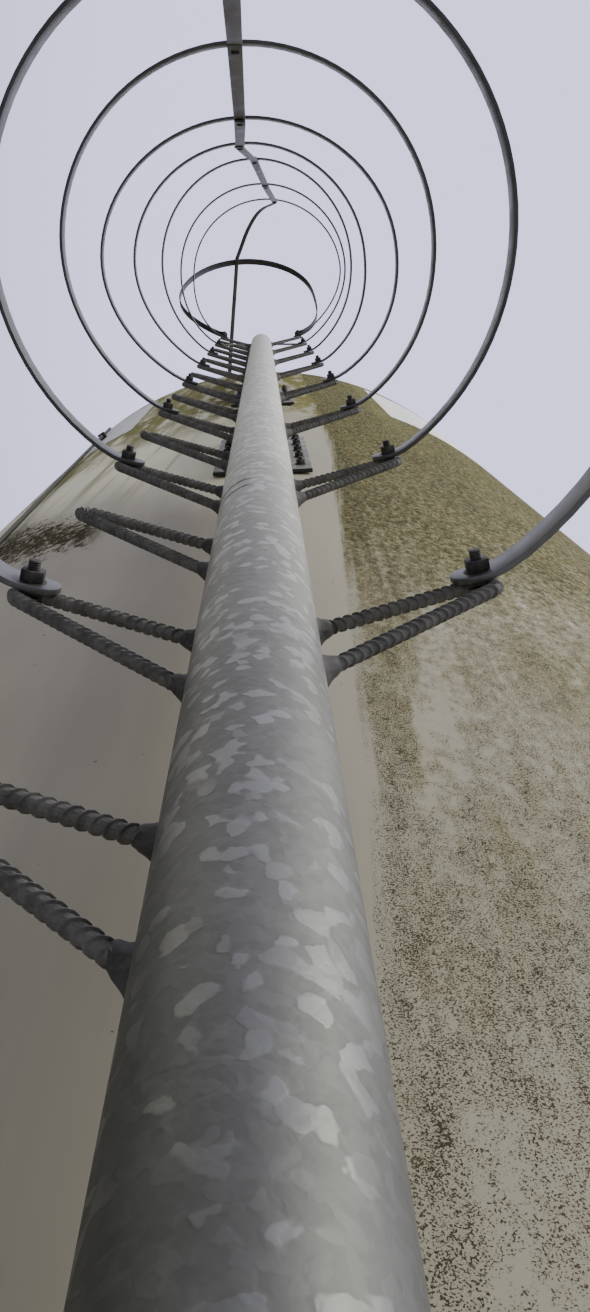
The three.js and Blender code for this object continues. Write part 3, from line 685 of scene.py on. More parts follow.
# %% Hopper
OUTLET_RADIUS = 0.200
hopper_low, hopper_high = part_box("hopper_cone")
HOPPER_BEND = hopper_high.z - 0.040
hopper_width = WALL_RADIUS - OUTLET_RADIUS
hopper_rise = HOPPER_BEND - hopper_low.z
hopper_profile = []
for share in (0, 0.25, 0.5, 0.75, 0.985):
    hopper_profile.append((OUTLET_RADIUS + hopper_width * share, hopper_low.z + hopper_rise * share))
hopper_profile += [(WALL_RADIUS - 0.003, HOPPER_BEND + 0.006), (WALL_RADIUS, HOPPER_BEND + 0.020)]
hopper_profile.append((WALL_RADIUS, hopper_high.z))
dress_shell(ring_stack("silo_hopper", hopper_profile, ROUND_SIDES, SILO_CENTRE), "hopper_cone")

# %% [markdown]
# ## Pipes
# The legs and the pole are three inch pipe. The three plain legs end in low domed caps below the shoulder.
# A cylinder would do for the pipe, but a stack of rings makes its dome too.

# %% Plain legs
PIPE_SIDES = 96
DOME = ((1.0, 0.018), (1.0, 0.013), (0.97, 0.009), (0.85, 0.005), (0.6, 0.002), (0.05, 0.0))


def domed_end(top):
    """The last rings of a pipe that ends in a low dome."""
    return [(PIPE_RADIUS * width, top - drop_down) for width, drop_down in DOME]


for place in ("right", "back", "left"):
    low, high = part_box("leg_" + place)
    centre = ((low.x + high.x) / 2, (low.y + high.y) / 2)
    profile = [(PIPE_RADIUS, low.z)] + domed_end(high.z)
    leg = ring_stack("support_leg_" + place, profile, PIPE_SIDES, centre, cap_top=True)
    close_ends(leg)
    smooth(leg, 50)
    dress(leg, zinc_material, "zinc", "leg_" + place)

# %% [markdown]
# ### Climbing pole
# The front leg is the climbing pole. It runs on past the wall's top and is closed there by a low cap. The
# model has it in three lengths that are butt-welded, so each length is a piece of its own, a little drawn
# in at the weld.

# %% Climbing pole
SEAM_RING = 0.0016
SEAM_RADIUS = PIPE_RADIUS - 0.0008
pole_levels = ("lower", "middle", "upper")
pole_spans = {}
for level in pole_levels:
    low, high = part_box("step_pole_" + level)
    pole_spans[level] = [low.z, high.z]
pole_spans["lower"][0] = foot_high.z + SEAT_GAP
for level, (bottom, top) in pole_spans.items():
    profile = [(SEAM_RADIUS, bottom), (PIPE_RADIUS, bottom + SEAM_RING)]
    profile.append((PIPE_RADIUS, bottom + 3 * SEAM_RING))
    if level == "upper":
        profile += domed_end(top)
    else:
        profile += [(PIPE_RADIUS, top - 3 * SEAM_RING), (PIPE_RADIUS, top - SEAM_RING), (SEAM_RADIUS, top)]
    pole = ring_stack("pole_pipe_" + level, profile, PIPE_SIDES, cap_top=level == "upper")
    close_ends(pole)
    dress_on_pole(pole, 50, pole_material, "zinc", "step_pole_" + level)

# %% [markdown]
# ## Steps
# Each step is one ribbed bar, bent back on itself and welded to the pole's side at both ends. By hand one
# would bend a straight bar. Here one rib is modelled, an Array repeats it to a straight bar, and a Curve
# modifier bends the bar along the step's route. The lower strand is a little flatter on the right than on
# the left.

# %% Step sizes
STEP_PITCH = 0.300
STEP_COUNT = 22
HOOP_EVERY = 2
STEP_BAR_RADIUS = 0.006
STEP_CORE_RADIUS = 0.0045
STEP_BEND_RADIUS = 0.012
STEP_BEND_POINTS = 10
STEP_REACH = 0.168
STEP_FORWARD = 0.028
STEP_RISE = 0.010
STEP_ROOT = 0.040
WELD_BACK = {-1: 0.005, 1: -0.001}
UPPER_SLOPE = radians(11.8)
LOWER_SLOPES = {-1: radians(38), 1: radians(34)}
print("steps:", STEP_COUNT, "on the left,", STEP_COUNT // HOOP_EVERY, "on the right")


# %% A step's route
def step_line(side):
    """Where a step leaves the pole's axis plane, its level direction and its reach."""
    root = Vector((side * STEP_ROOT, WELD_BACK[side], 0))
    outward = Vector((side * STEP_REACH, -STEP_FORWARD, 0)) - root
    return root, outward.normalized(), outward.length


def step_route(side):
    """Points from the lower weld, round the bend, to the upper weld, for a step at height 0."""
    root, outward, reach = step_line(side)
    lower_slope = LOWER_SLOPES[side]
    points = []
    for index in range(STEP_BEND_POINTS + 1):
        angle = lower_slope - pi / 2 + (UPPER_SLOPE - lower_slope + pi) * index / STEP_BEND_POINTS
        distance = reach + STEP_BEND_RADIUS * cos(angle)
        height = STEP_RISE + STEP_BEND_RADIUS * sin(angle)
        points.append(root + outward * distance + Vector((0, 0, height)))
    lower_run = reach + STEP_BEND_RADIUS * cos(lower_slope - pi / 2)
    upper_run = reach + STEP_BEND_RADIUS * cos(UPPER_SLOPE + pi / 2)
    lower_weld = root + Vector((0, 0, points[0].z - lower_run * tan(lower_slope)))
    upper_weld = root + Vector((0, 0, points[-1].z - upper_run * tan(UPPER_SLOPE)))
    return [lower_weld] + points + [upper_weld]


def route_length(points):
    return sum((end - start).length for start, end in zip(points, points[1:]))


def bend_along(bar, points, gap=0.008):
    """Bends a bar along points, with a curve that has a point at least every gap."""
    dense = [points[0]]
    for start, end in zip(points, points[1:]):
        pieces = max(1, ceil((end - start).length / gap))
        dense += [start.lerp(end, number / pieces) for number in range(1, pieces + 1)]
    curve = bpy.data.curves.new("guide", "CURVE")
    curve.dimensions = "3D"
    curve.twist_mode = "MINIMUM"
    spline = curve.splines.new("POLY")
    spline.points.add(len(dense) - 1)
    for number, point in enumerate(dense):
        spline.points[number].co = (*point, 1)
    guide = add_object("guide", curve)
    modify(bar, "CURVE", object=guide, deform_axis="POS_Z")
    drop(guide)


# %% A ribbed bar
RIB_PITCH = 0.0072
RIB_SLANT = radians(38)
RIB_SHAPE = [(0, STEP_CORE_RADIUS), (0.50, STEP_CORE_RADIUS), (0.57, STEP_BAR_RADIUS)]
RIB_SHAPE += [(0.70, STEP_BAR_RADIUS), (0.77, STEP_CORE_RADIUS), (1, STEP_CORE_RADIUS)]
RIB = [(radius, share * RIB_PITCH) for share, radius in RIB_SHAPE]
BAR_SIDES = 12
RIDGE = 1.16


def ribbed_bar(length):
    """A straight bar along Z with slanted ribs, from one rib repeated."""
    select_none()
    bpy.ops.mesh.primitive_circle_add(vertices=BAR_SIDES, radius=STEP_CORE_RADIUS)
    bar = bpy.context.object
    open_mesh(bar)
    bpy.ops.transform.resize(value=(1, RIDGE, 1), center_override=(0, 0, 0))
    bpy.ops.transform.rotate(value=RIB_SLANT, orient_axis="X", center_override=(0, 0, 0))
    raise_rings(RIB, evenly=True)
    close_mesh()
    offset = {"use_relative_offset": False, "use_constant_offset": True}
    offset["constant_offset_displace"] = (0, 0, RIB_PITCH)
    modify(bar, "ARRAY", count=int(length / RIB_PITCH), use_merge_vertices=True, **offset)
    return bar


def step_bar(side):
    points = step_route(side)
    bar = ribbed_bar(route_length(points))
    bend_along(bar, points)
    face_outwards(bar)
    close_ends(bar)
    smooth(bar, 25)
    return bar


# %% [markdown]
# ### Welds
# At each end the weld runs out from the bar on to the pole like the bell of a trumpet, with its tips up and
# down the pole. It is a stack of rings round the bar's line, stretched upright, and a Displace modifier
# stirs it.

# %% Step welds
WELD_SIDES = 24
WELD_STRETCH = 1.15
WELD_STIR = 0.0012
WELD_BELL = [(0.0130, -0.0035), (0.0108, 0.0002), (0.0090, 0.0022)]
WELD_BELL += [(0.0076, 0.0048), (0.0066, 0.0085), (0.0046, 0.0115)]
weld_noise = bpy.data.textures.new("weld_noise", "CLOUDS")
weld_noise.noise_scale = 0.004


def weld_bell(slope):
    """A bell round a bar that rises from the pole at a slope. Its rings stay flat against the pole."""
    select_none()
    radius, height = WELD_BELL[0]
    place = (0, height * tan(slope), height)
    bpy.ops.mesh.primitive_circle_add(vertices=WELD_SIDES, radius=radius, location=place)
    bell = bpy.context.object
    bell.scale.y = WELD_STRETCH / cos(slope)
    place_in_mesh(bell)
    open_mesh(bell)
    raise_rings(WELD_BELL, lean=tan(slope))
    close_mesh()
    face_outwards(bell)
    modify(bell, "SUBSURF", levels=1, render_levels=1)
    modify(bell, "DISPLACE", texture=weld_noise, strength=WELD_STIR, mid_level=0.5)
    close_ends(bell)
    return bell


def weld_places(side):
    """Where the bar's middle line meets the pole's surface, for a step at height 0, with the bar's slope."""
    root, outward = step_line(side)[:2]
    along = root.x * outward.x + root.y * outward.y
    inside = PIPE_RADIUS**2 - root.length_squared
    distance = (along**2 + inside) ** 0.5 - along
    route = step_route(side)
    places = []
    for weld, slope in ((route[0], LOWER_SLOPES[side]), (route[-1], UPPER_SLOPE)):
        point = root + outward * distance + Vector((0, 0, weld.z + distance * tan(slope)))
        places.append((point, outward, slope))
    return places


# %% All steps on the pole
step_masters = {side: step_bar(side) for side in (-1, 1)}
bell_masters = {slope: weld_bell(slope) for slope in (*LOWER_SLOPES.values(), UPPER_SLOPE)}
for level, (bottom, top) in pole_spans.items():
    bars, bells = [], []
    for number in range(1, STEP_COUNT + 1):
        height = number * STEP_PITCH
        if not bottom < height < top:
            continue
        for side in (-1, 1) if number % HOOP_EVERY == 0 else (-1,):
            bars.append(copy_to(step_masters[side], (0, 0, height)))
            for point, outward, slope in weld_places(side):
                bells.append(copy_to(bell_masters[slope], point + Vector((0, 0, height)), outward))
    steps = join("pole_steps_" + level, bars)
    dress_on_pole(steps, 25, step_material, "dark_rod", "step_pole_" + level)
    welds = join("pole_welds_" + level, bells)
    dress_on_pole(welds, 60, weld_material, "dark_rod", "step_pole_" + level)
for master in (*step_masters.values(), *bell_masters.values()):
    drop(master)

# %% [markdown]
# ## Cage hoops
# A hoop is flat bar on edge, rolled to a round with a short straight tab at each end. A tab lies on the
# step's bar, so it follows the slope of the step. By hand one would draw one upright edge and extrude it
# along the round. The tabs' corners are rounded by a vertex bevel, Solidify gives the bar its thickness,
# and a small bevel takes the sharpness off. No two hoops are alike in the photograph, so each has its own
# width, reach and shift.

# %% Hoop sizes
FIRST_HOOP_STEP = 8
HOOP_BAR_HEIGHT = 0.030
HOOP_THICKNESS = 0.005
HOOP_STATIONS = 72
TAB_END = 0.147
ARC_END = 0.183
TAB_BOLT = 0.168
TAB_CUT = 0.014
TAB_ROUND = 0.0148
HOOP_RISE = 0.022
HOOP_RADII = (0.312, 0.317, 0.324, 0.337, 0.325, 0.317, 0.320, 0.325)
HOOP_DEPTHS = (0.616, 0.620, 0.624, 0.596, 0.616, 0.640, 0.616, 0.606)
HOOP_SHIFTS = (0.0, 0.0, -0.012, -0.017, -0.023, -0.006, 0.016, 0.035)
HOOP_COUNT = len(HOOP_RADII)
STEP_FALLS = {side: (STEP_FORWARD + WELD_BACK[side]) / (STEP_REACH - STEP_ROOT) for side in (-1, 1)}
STEP_FRONT = STEP_FORWARD + STEP_BEND_RADIUS * STEP_FALLS[-1] + STEP_BAR_RADIUS
TAB_PLANE = STEP_FRONT + SEAT_GAP + HOOP_THICKNESS / 2
print("hoops:", HOOP_COUNT, "tabs in front of the pole's axis by", round(TAB_PLANE, 4))


# %% Where a hoop goes
def hoop_height(index):
    return (FIRST_HOOP_STEP + HOOP_EVERY * index) * STEP_PITCH + HOOP_RISE


def smooth_step(share, end):
    share = min(max(share / end, 0), 1)
    return share * share * (3 - 2 * share)


def hoop_round(half_width, reach, shift):
    """The round as pairs of x and distance from the tabs."""
    low = acos(ARC_END / half_width)
    half_reach = reach / (1 + sin(low))
    points = []
    for index in range(HOOP_STATIONS + 1):
        share = index / HOOP_STATIONS
        angle = pi + low - (pi + 2 * low) * share
        lean = shift * smooth_step(min(share, 1 - share), 0.22)
        points.append((half_width * cos(angle) + lean, half_reach * (sin(low) + sin(angle))))
    return points


def hoop_reach_at(index, x):
    """How far out a hoop is at a place across it, and how steeply it falls away there."""
    low = acos(ARC_END / HOOP_RADII[index])
    half_reach = (HOOP_DEPTHS[index] - TAB_PLANE) / (1 + sin(low))
    across = (x - HOOP_SHIFTS[index]) / HOOP_RADII[index]
    along = (1 - across**2) ** 0.5
    return half_reach * (sin(low) + along), half_reach / HOOP_RADII[index] * abs(across) / along


# %% Tabs and their bends
def tab_plane(side):
    """How far in front of the pole's axis a tab lies at its bolt, with its back on the step's bars."""
    return TAB_PLANE - (ARC_END - TAB_BOLT) * STEP_FALLS[side]


def tab_faces(side):
    """The direction in which the front of a tab faces."""
    return Vector((-side * STEP_FALLS[side], -1, 0))


def soft_bends(points, tab_end, falls):
    """Adds the tabs, which follow the steps, and rounds the corner between each tab and the round."""
    line = []
    for ends, side in ((points[:6], -1), (points[-6:][::-1], 1)):
        corner = Vector((*ends[0], 0))
        along = Vector((side, falls[side], 0))
        start = corner - along * (ARC_END - tab_end)
        level = corner - along.normalized() * TAB_CUT
        raised = corner + (Vector((*ends[2], 0)) - corner).normalized() * TAB_CUT
        arc = []
        for number in range(7):
            share = number / 6
            arc.append(level.lerp(corner, share).lerp(corner.lerp(raised, share), share))
        line.append([(start.x, start.y)] + [(point.x, point.y) for point in arc])
    middle = [point for point in points[1:-1] if point[1] > max(line[0][-1][1], line[1][-1][1]) + 0.004]
    return line[0] + middle + line[1][::-1]


# %% Flat bar
UP = (0, 0, 1)
ACROSS = (1, 0, 0)
BAR_EDGE = 0.0008


def ribbon(name, stations, width, across, thickness, end_radius):
    """Extrudes an edge from station to station and makes a flat bar of it."""
    half = Vector(across) * (width / 2)
    mesh = bpy.data.meshes.new(name)
    mesh.from_pydata([stations[0] - half, stations[0] + half], [(0, 1)], [])
    bar = add_object(name, mesh)
    open_mesh(bar)
    for start, end in zip(stations, stations[1:]):
        bpy.ops.mesh.extrude_edges_move(TRANSFORM_OT_translate={"value": end - start})
    close_mesh()
    ends = (stations[0], stations[-1])
    for vertex in bar.data.vertices:
        vertex.select = any(abs((vertex.co - end).length - width / 2) < 1e-5 for end in ends)
    bpy.ops.object.mode_set(mode="EDIT")
    bpy.ops.mesh.select_mode(type="VERT")
    bpy.ops.mesh.bevel(affect="VERTICES", offset=end_radius, segments=7)
    close_mesh()
    modify(bar, "SOLIDIFY", thickness=thickness, offset=0.0, use_even_offset=True)
    face_outwards(bar)
    bevel(bar, BAR_EDGE, 50)
    smooth(bar, 40)
    return bar


# %% Level hoops
for index in range(HOOP_COUNT):
    number = str(index + 1)
    round_points = hoop_round(HOOP_RADII[index], HOOP_DEPTHS[index] - TAB_PLANE, HOOP_SHIFTS[index])
    flat_points = soft_bends(round_points, TAB_END, STEP_FALLS)
    stations = [Vector((x, -TAB_PLANE - out, 0)) for x, out in flat_points]
    hoop = ribbon("cage_hoop_bar_" + number, stations, HOOP_BAR_HEIGHT, UP, HOOP_THICKNESS, TAB_ROUND)
    hoop.location.z = hoop_height(index)
    place_in_mesh(hoop)
    dress_on_pole(hoop, 40, hoop_material, "hoop_steel", "cage_hoop_" + number)

# %% [markdown]
# ### Leaning hoop
# The last hoop leans back over the roof. It is modelled flat like the others, turned by its tilt about the
# line of its tabs, and its end tabs share the bolts of the hoop below.

# %% Leaning hoop
TOP_HOOP_TILT = radians(50.7)
TOP_HOOP_RADIUS = 0.314
TOP_HOOP_REACH = 0.500
TOP_HOOP_SHIFT = -0.063
LEANING_HEIGHT = HOOP_BAR_HEIGHT * cos(TOP_HOOP_TILT) + HOOP_THICKNESS * sin(TOP_HOOP_TILT)
LEANING_RISE = (HOOP_BAR_HEIGHT + LEANING_HEIGHT) / 2 + 2 * SEAT_GAP
LEANING_PLANE = TAB_PLANE + HOOP_THICKNESS + SEAT_GAP
LEANING_TAB_WIDTH = 0.032
TOP_HOOP_Z = hoop_height(HOOP_COUNT - 1)
leaning_round = hoop_round(TOP_HOOP_RADIUS, TOP_HOOP_REACH, TOP_HOOP_SHIFT)
flat_points = soft_bends(leaning_round, TAB_END + 0.006, {-1: 0, 1: 0})
stations = [Vector((x, -out, 0)) for x, out in flat_points]
leaning = ribbon("leaning_hoop_bar", stations, HOOP_BAR_HEIGHT, UP, HOOP_THICKNESS, TAB_ROUND)
leaning.rotation_euler.x = -TOP_HOOP_TILT
leaning.location = (0, -LEANING_PLANE, TOP_HOOP_Z + LEANING_RISE)
place_in_mesh(leaning)
tabs = []
tab_rise = HOOP_BAR_HEIGHT / 2 + LEANING_RISE
for side in (-1, 1):
    plane = tab_plane(side) + HOOP_THICKNESS + SEAT_GAP
    low_end = Vector((side * TAB_BOLT, -plane, TOP_HOOP_Z - HOOP_BAR_HEIGHT / 2))
    tab_stations = [low_end + Vector((0, 0, tab_rise * share)) for share in (0, 0.6, 1)]
    across = tab_faces(side).cross(Vector(UP)).normalized()
    tabs.append(ribbon("tab", tab_stations, LEANING_TAB_WIDTH, across, HOOP_THICKNESS, 0.010))
leaning = join("leaning_hoop_bar", [leaning] + tabs)
dress_on_pole(leaning, 40, hoop_material, "hoop_steel", "cage_hoop_top")

# %% [markdown]
# ## Straps
# Flat bars join the hoops at the back of the cage, one for each bay. Each foot laps over the end of the bar
# below. They are edges extruded along a line, like the hoops, so the same helper makes them. The last one
# curves back under the leaning hoop and comes down to a foot on the roof.

# %% Straps
STRAP_WIDTH = 0.025
STRAP_THICKNESS = 0.004
STRAP_SLACK = 0.0024
STRAP_SHIFTS = (-0.020, -0.020, -0.026, -0.031, -0.042, -0.005, 0.032, 0.072)
STRAP_LAP = 0.042
STRAP_PAST = 0.020


def strap_crossing(index, layers):
    """The middle of a strap where it crosses a hoop's inner face."""
    reach, slope = hoop_reach_at(index, STRAP_SHIFTS[index])
    slack = STRAP_SLACK + slope * STRAP_WIDTH / 2
    inwards = HOOP_THICKNESS / 2 + slack + (layers + 0.5) * STRAP_THICKNESS
    return Vector((STRAP_SHIFTS[index], -TAB_PLANE - reach + inwards, hoop_height(index)))


def foot_crossing(index):
    """The same for the foot that laps over the bar below. The first one has no bar below it."""
    return strap_crossing(index, 0 if index == 0 else 0.9)


bars = []
for index in range(HOOP_COUNT - 1):
    foot = foot_crossing(index)
    head = strap_crossing(index + 1, 0)
    along = (head - foot).normalized()
    foot -= along * STRAP_LAP
    head += along * STRAP_PAST
    stations = [foot.lerp(head, share / 4) for share in range(5)]
    bars.append(ribbon("strap", stations, STRAP_WIDTH, ACROSS, STRAP_THICKNESS, 0.004))
dress_on_pole(join("cage_strap_bars", bars), 40, strap_material, "hoop_steel", "cage_straps")

# %% [markdown]
# ### Top strap
# It is narrower and bends gently, so its corners are cut off in two rounds, which makes a smooth line of
# them.

# %% Top strap
TOP_STRAP_WIDTH = 0.018
TOP_STRAP_BEND = ((0.005, -0.572, 6.745), (-0.050, -0.499, 6.843), (-0.092, -0.405, 6.950))
TOP_STRAP_CROSSING = -0.110
TOP_STRAP_OVER = (-0.147, 0.060, 6.775)
TOP_STRAP_FOOT_X = -0.150
TOP_STRAP_FOOT_Y = 0.190
TOP_STRAP_FOOT_LENGTH = 0.060


def cut_corners(points):
    """Replaces each corner by two points beside it."""
    rounder = [points[0]]
    for start, end in zip(points, points[1:]):
        rounder += [start.lerp(end, 0.25), start.lerp(end, 0.75)]
    return rounder + [points[-1]]


lean_axis = Vector((0, sin(TOP_HOOP_TILT), cos(TOP_HOOP_TILT)))
strap_reach = TOP_HOOP_REACH - HOOP_THICKNESS / 2 - STRAP_THICKNESS / 2 - 0.006
crossing_y = -LEANING_PLANE - strap_reach * cos(TOP_HOOP_TILT)
crossing_z = TOP_HOOP_Z + LEANING_RISE + strap_reach * sin(TOP_HOOP_TILT)
crossing = Vector((TOP_STRAP_CROSSING, crossing_y, crossing_z))
foot_distance = hypot(TOP_STRAP_FOOT_X, SILO_Y - POLE_Y - TOP_STRAP_FOOT_Y)
foot = Vector((TOP_STRAP_FOOT_X, TOP_STRAP_FOOT_Y, 0))
foot.z = cone_height + (cone_radius - foot_distance) * tan(ROOF_SLOPE) + 0.012
start = strap_crossing(HOOP_COUNT - 1, 1.3)
stations = [start - Vector((0, 0, STRAP_PAST)), start + Vector((0, 0, STRAP_PAST))]
stations += [Vector(point) for point in TOP_STRAP_BEND]
stations += [crossing - lean_axis * HOOP_BAR_HEIGHT * 0.6, crossing + lean_axis * HOOP_BAR_HEIGHT * 0.6]
stations += [Vector(TOP_STRAP_OVER), foot + Vector((0, -0.02, 0.02)), foot]
stations.append(foot + Vector((0, 1, tan(ROOF_SLOPE))) * TOP_STRAP_FOOT_LENGTH)
stations = cut_corners(cut_corners(stations))
top_strap = ribbon("cage_top_strap_bar", stations, TOP_STRAP_WIDTH, ACROSS, STRAP_THICKNESS, 0.002)
dress_on_pole(top_strap, 40, strap_material, "hoop_steel", "cage_top_strap")

# %% [markdown]
# ## Bolts and nuts
# One nut on its threaded end is modelled for each size, and copied to its places. A nut is a six-sided
# cylinder with bevelled rims. The thread is a stack of rings whose radius goes in and out.

# %% A nut on a threaded end
THREAD_PITCH = 0.00175
THREAD_SIDES = 14
WASHER_SIDES = 24


def low_cylinder(sides, radius, bottom, height, edge, angle, segments):
    """A nut, a bolt's head or a washer, with bevelled rims."""
    select_none()
    place = (0, 0, bottom + height / 2)
    bpy.ops.mesh.primitive_cylinder_add(vertices=sides, radius=radius, depth=height, location=place)
    cylinder = bpy.context.object
    place_in_mesh(cylinder)
    bevel(cylinder, edge, angle, segments)
    return cylinder


def threaded_end(radius, bottom, top):
    """A thread as a stack of rings, closed at its top."""
    count = max(2, int((top - bottom) / THREAD_PITCH))
    profile = [(radius * 0.9, bottom)]
    for number in range(count):
        middle = bottom + (top - bottom) * (number + 0.5) / count
        profile += [(radius, middle), (radius * 0.88, middle + (top - bottom) * 0.45 / count)]
    profile.append((radius * 0.8, top))
    return ring_stack("thread", profile, THREAD_SIDES, cap_top=True)


def fastener(name, nut_width, nut_height, washer, thread_radius=0, thread_top=0):
    """A nut on a washer with its thread, standing on the origin along +Z."""
    nut_radius = nut_width / 2 / cos(pi / 6)
    pieces = [low_cylinder(6, nut_radius, washer, nut_height, nut_width * 0.05, 80, 2)]
    pieces.append(low_cylinder(WASHER_SIDES, nut_width * 0.66, 0, washer, washer * 0.25, 60, 1))
    if thread_top:
        pieces.append(threaded_end(thread_radius, washer, thread_top))
    whole = join(name, pieces)
    close_ends(whole)
    smooth(whole, 30)
    return whole


# %% [markdown]
# ### Cage fasteners
# Each tab is bolted through the bend of a step: a nut with a threaded end in front, and a head behind. A
# strap is bolted to each hoop, with a head outside and one inside.

# %% Cage fasteners
tab_nut = fastener("tab_nut", 0.0170, 0.0090, 0.0004, 0.0049, 0.0165)
tab_head = fastener("tab_head", 0.0150, 0.0040, 0.0010)
strap_head = fastener("strap_head", 0.0125, 0.0030, 0.0006)
OUTWARDS = (0, -1, 0)
INWARDS = (0, 1, 0)
fasteners = []
for index in range(HOOP_COUNT):
    height = hoop_height(index)
    layers = HOOP_THICKNESS / 2
    if index == HOOP_COUNT - 1:
        layers += HOOP_THICKNESS + SEAT_GAP
    for side in (-1, 1):
        front = (side * TAB_BOLT, -tab_plane(side) - layers, height)
        fasteners.append(copy_to(tab_nut, front, tab_faces(side)))
        fasteners.append(copy_to(tab_head, (side * TAB_BOLT, -STEP_FORWARD, height), -tab_faces(side)))
    reach = hoop_reach_at(index, STRAP_SHIFTS[index])[0]
    outer = (STRAP_SHIFTS[index], -TAB_PLANE - reach - HOOP_THICKNESS / 2, height)
    fasteners.append(copy_to(strap_head, outer, OUTWARDS))
    inner = foot_crossing(index) + Vector((0, STRAP_THICKNESS / 2, 0))
    fasteners.append(copy_to(strap_head, inner, INWARDS))
dress_on_pole(join("cage_bolts", fasteners), 30, bolt_material, "dark_rod")

# %% [markdown]
# ## Brackets, feet and outlet
# Plates come straight from the model: a copy of the node's mesh, merged, with its flat faces dissolved to
# single ones, and then bevelled along every sharp edge. The rod's guides are made slimmer than the model
# has them.


# %% A node's copy with bevelled edges
def bevelled_copy(node, name, width):
    piece = own_copy(nodes[node])
    piece.name = name
    piece.data.name = name
    open_mesh(piece)
    bpy.ops.mesh.remove_doubles(threshold=0.00001)
    bpy.ops.mesh.dissolve_limited(angle_limit=radians(1))
    bpy.ops.mesh.normals_make_consistent(inside=False)
    close_mesh()
    bevel(piece, width, 40)
    smooth(piece, 30)
    return piece


# %% Plates and guides
FINE_EDGE = 0.0012
THICK_EDGE = 0.0015
GUIDE_EDGE = 0.0010
GUIDE_SLIMNESS = 0.4
brackets = [name for name in nodes if name.startswith("bracket_")]
plates = [(name, name.replace("bracket", "wall_bracket"), FINE_EDGE) for name in brackets]
for place in ("front", "right", "back", "left"):
    plates.append(("foot_plate_" + place, "leg_foot_" + place, THICK_EDGE))
plates += [("gate_frame", "outlet_gate_frame", THICK_EDGE), ("slide_gate", "outlet_slide_gate", FINE_EDGE)]
for node, name, edge in plates:
    dress(bevelled_copy(node, name, edge), plate_material, "zinc", node)
for level in ("lower", "upper"):
    node = "rod_guide_" + level
    guide = bevelled_copy(node, "wall_rod_guide_" + level, GUIDE_EDGE)
    low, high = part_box(node)
    pick(guide)
    bpy.ops.transform.resize(value=(1, 1, GUIDE_SLIMNESS), center_override=(low + high) / 2)
    place_in_mesh(guide)
    dress(guide, rod_material, "zinc", node)

# %% Outlet collar
FLANGE_EDGE = 0.001
OUTLET_SIDES = 96
outlet_low, outlet_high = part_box("outlet_collar")
FLANGE_RADIUS = (outlet_high.x - outlet_low.x) / 2
FLANGE_TOP = outlet_low.z + 0.010
inner_radius = OUTLET_RADIUS - 0.005
profile = [(inner_radius, outlet_low.z), (FLANGE_RADIUS - FLANGE_EDGE, outlet_low.z)]
profile += [(FLANGE_RADIUS, outlet_low.z + FLANGE_EDGE), (FLANGE_RADIUS, FLANGE_TOP - FLANGE_EDGE)]
profile += [(FLANGE_RADIUS - FLANGE_EDGE, FLANGE_TOP), (OUTLET_RADIUS, FLANGE_TOP)]
profile += [(OUTLET_RADIUS, outlet_high.z), (inner_radius, outlet_high.z), (inner_radius, outlet_low.z)]
outlet = ring_stack("outlet_collar_ring", profile, OUTLET_SIDES, SILO_CENTRE)
smooth(outlet, 30)
dress(outlet, zinc_material, "zinc", "outlet_collar")

# %% [markdown]
# ### Plate bolts
# Five bolts a side hold each wall bracket, twelve hold the outlet's flange and four hold each foot. The
# model's plates have no holes, so the bolts stand on their faces. Each leg's set is made at the origin and
# turned round the silo's axis.

# %% Plate bolts
BRACKET_BOLT_X = 0.078
BRACKET_BOLT_FIRST = 0.062
BRACKET_BOLT_PITCH = 0.096
BRACKET_BOLTS = 5
BRACKET_FACE = 0.1017
ANCHOR_OFFSET = 0.07
LEG_CIRCLE = SILO_Y - POLE_Y
plate_bolt = fastener("plate_bolt", 0.0170, 0.0085, 0.0016, 0.0050, 0.0150)
anchor_bolt = fastener("anchor_bolt", 0.0240, 0.0130, 0.0025, 0.0078, 0.0330)
for place, leg_turn in (("front", 0.0), ("right", pi / 2), ("back", pi), ("left", -pi / 2)):
    bolts = []
    for level in ("lower", "upper"):
        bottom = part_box("bracket_%s_%s" % (place, level))[0].z
        for side in (-1, 1):
            for number in range(BRACKET_BOLTS):
                height = bottom + BRACKET_BOLT_FIRST + number * BRACKET_BOLT_PITCH
                bolts.append(copy_to(plate_bolt, (side * BRACKET_BOLT_X, BRACKET_FACE, height), OUTWARDS))
    for x in (-ANCHOR_OFFSET, ANCHOR_OFFSET):
        for y in (-ANCHOR_OFFSET, ANCHOR_OFFSET):
            bolts.append(copy_to(anchor_bolt, (x, y, foot_high.z), UP))
    whole = join("plate_bolts_" + place, bolts)
    whole.location.y = -LEG_CIRCLE
    place_in_mesh(whole)
    whole.rotation_euler.z = leg_turn
    whole.location = (*SILO_CENTRE, 0)
    place_in_mesh(whole)
    smooth(whole, 30)
    dress(whole, bolt_material, "dark_rod")

# %% Flange bolts
FLANGE_BOLTS = 12
FLANGE_BOLT_CIRCLE = 0.229
bolts = []
for number in range(FLANGE_BOLTS):
    angle = 2 * pi * (number + 0.5) / FLANGE_BOLTS
    x = SILO_X + FLANGE_BOLT_CIRCLE * cos(angle)
    y = SILO_Y + FLANGE_BOLT_CIRCLE * sin(angle)
    bolts.append(copy_to(plate_bolt, (x, y, FLANGE_TOP), UP))
whole = join("flange_bolts", bolts)
smooth(whole, 30)
dress(whole, bolt_material, "dark_rod")
for master in (tab_nut, tab_head, strap_head, plate_bolt, anchor_bolt):
    drop(master)

# %% [markdown]
# ## Thin rods
# A thin rod runs up the wall in two guides, and two more tie the pole's top to the steps below the last
# ones. Each is a straight stack of rings, bent along its line by a Curve modifier, like the steps.


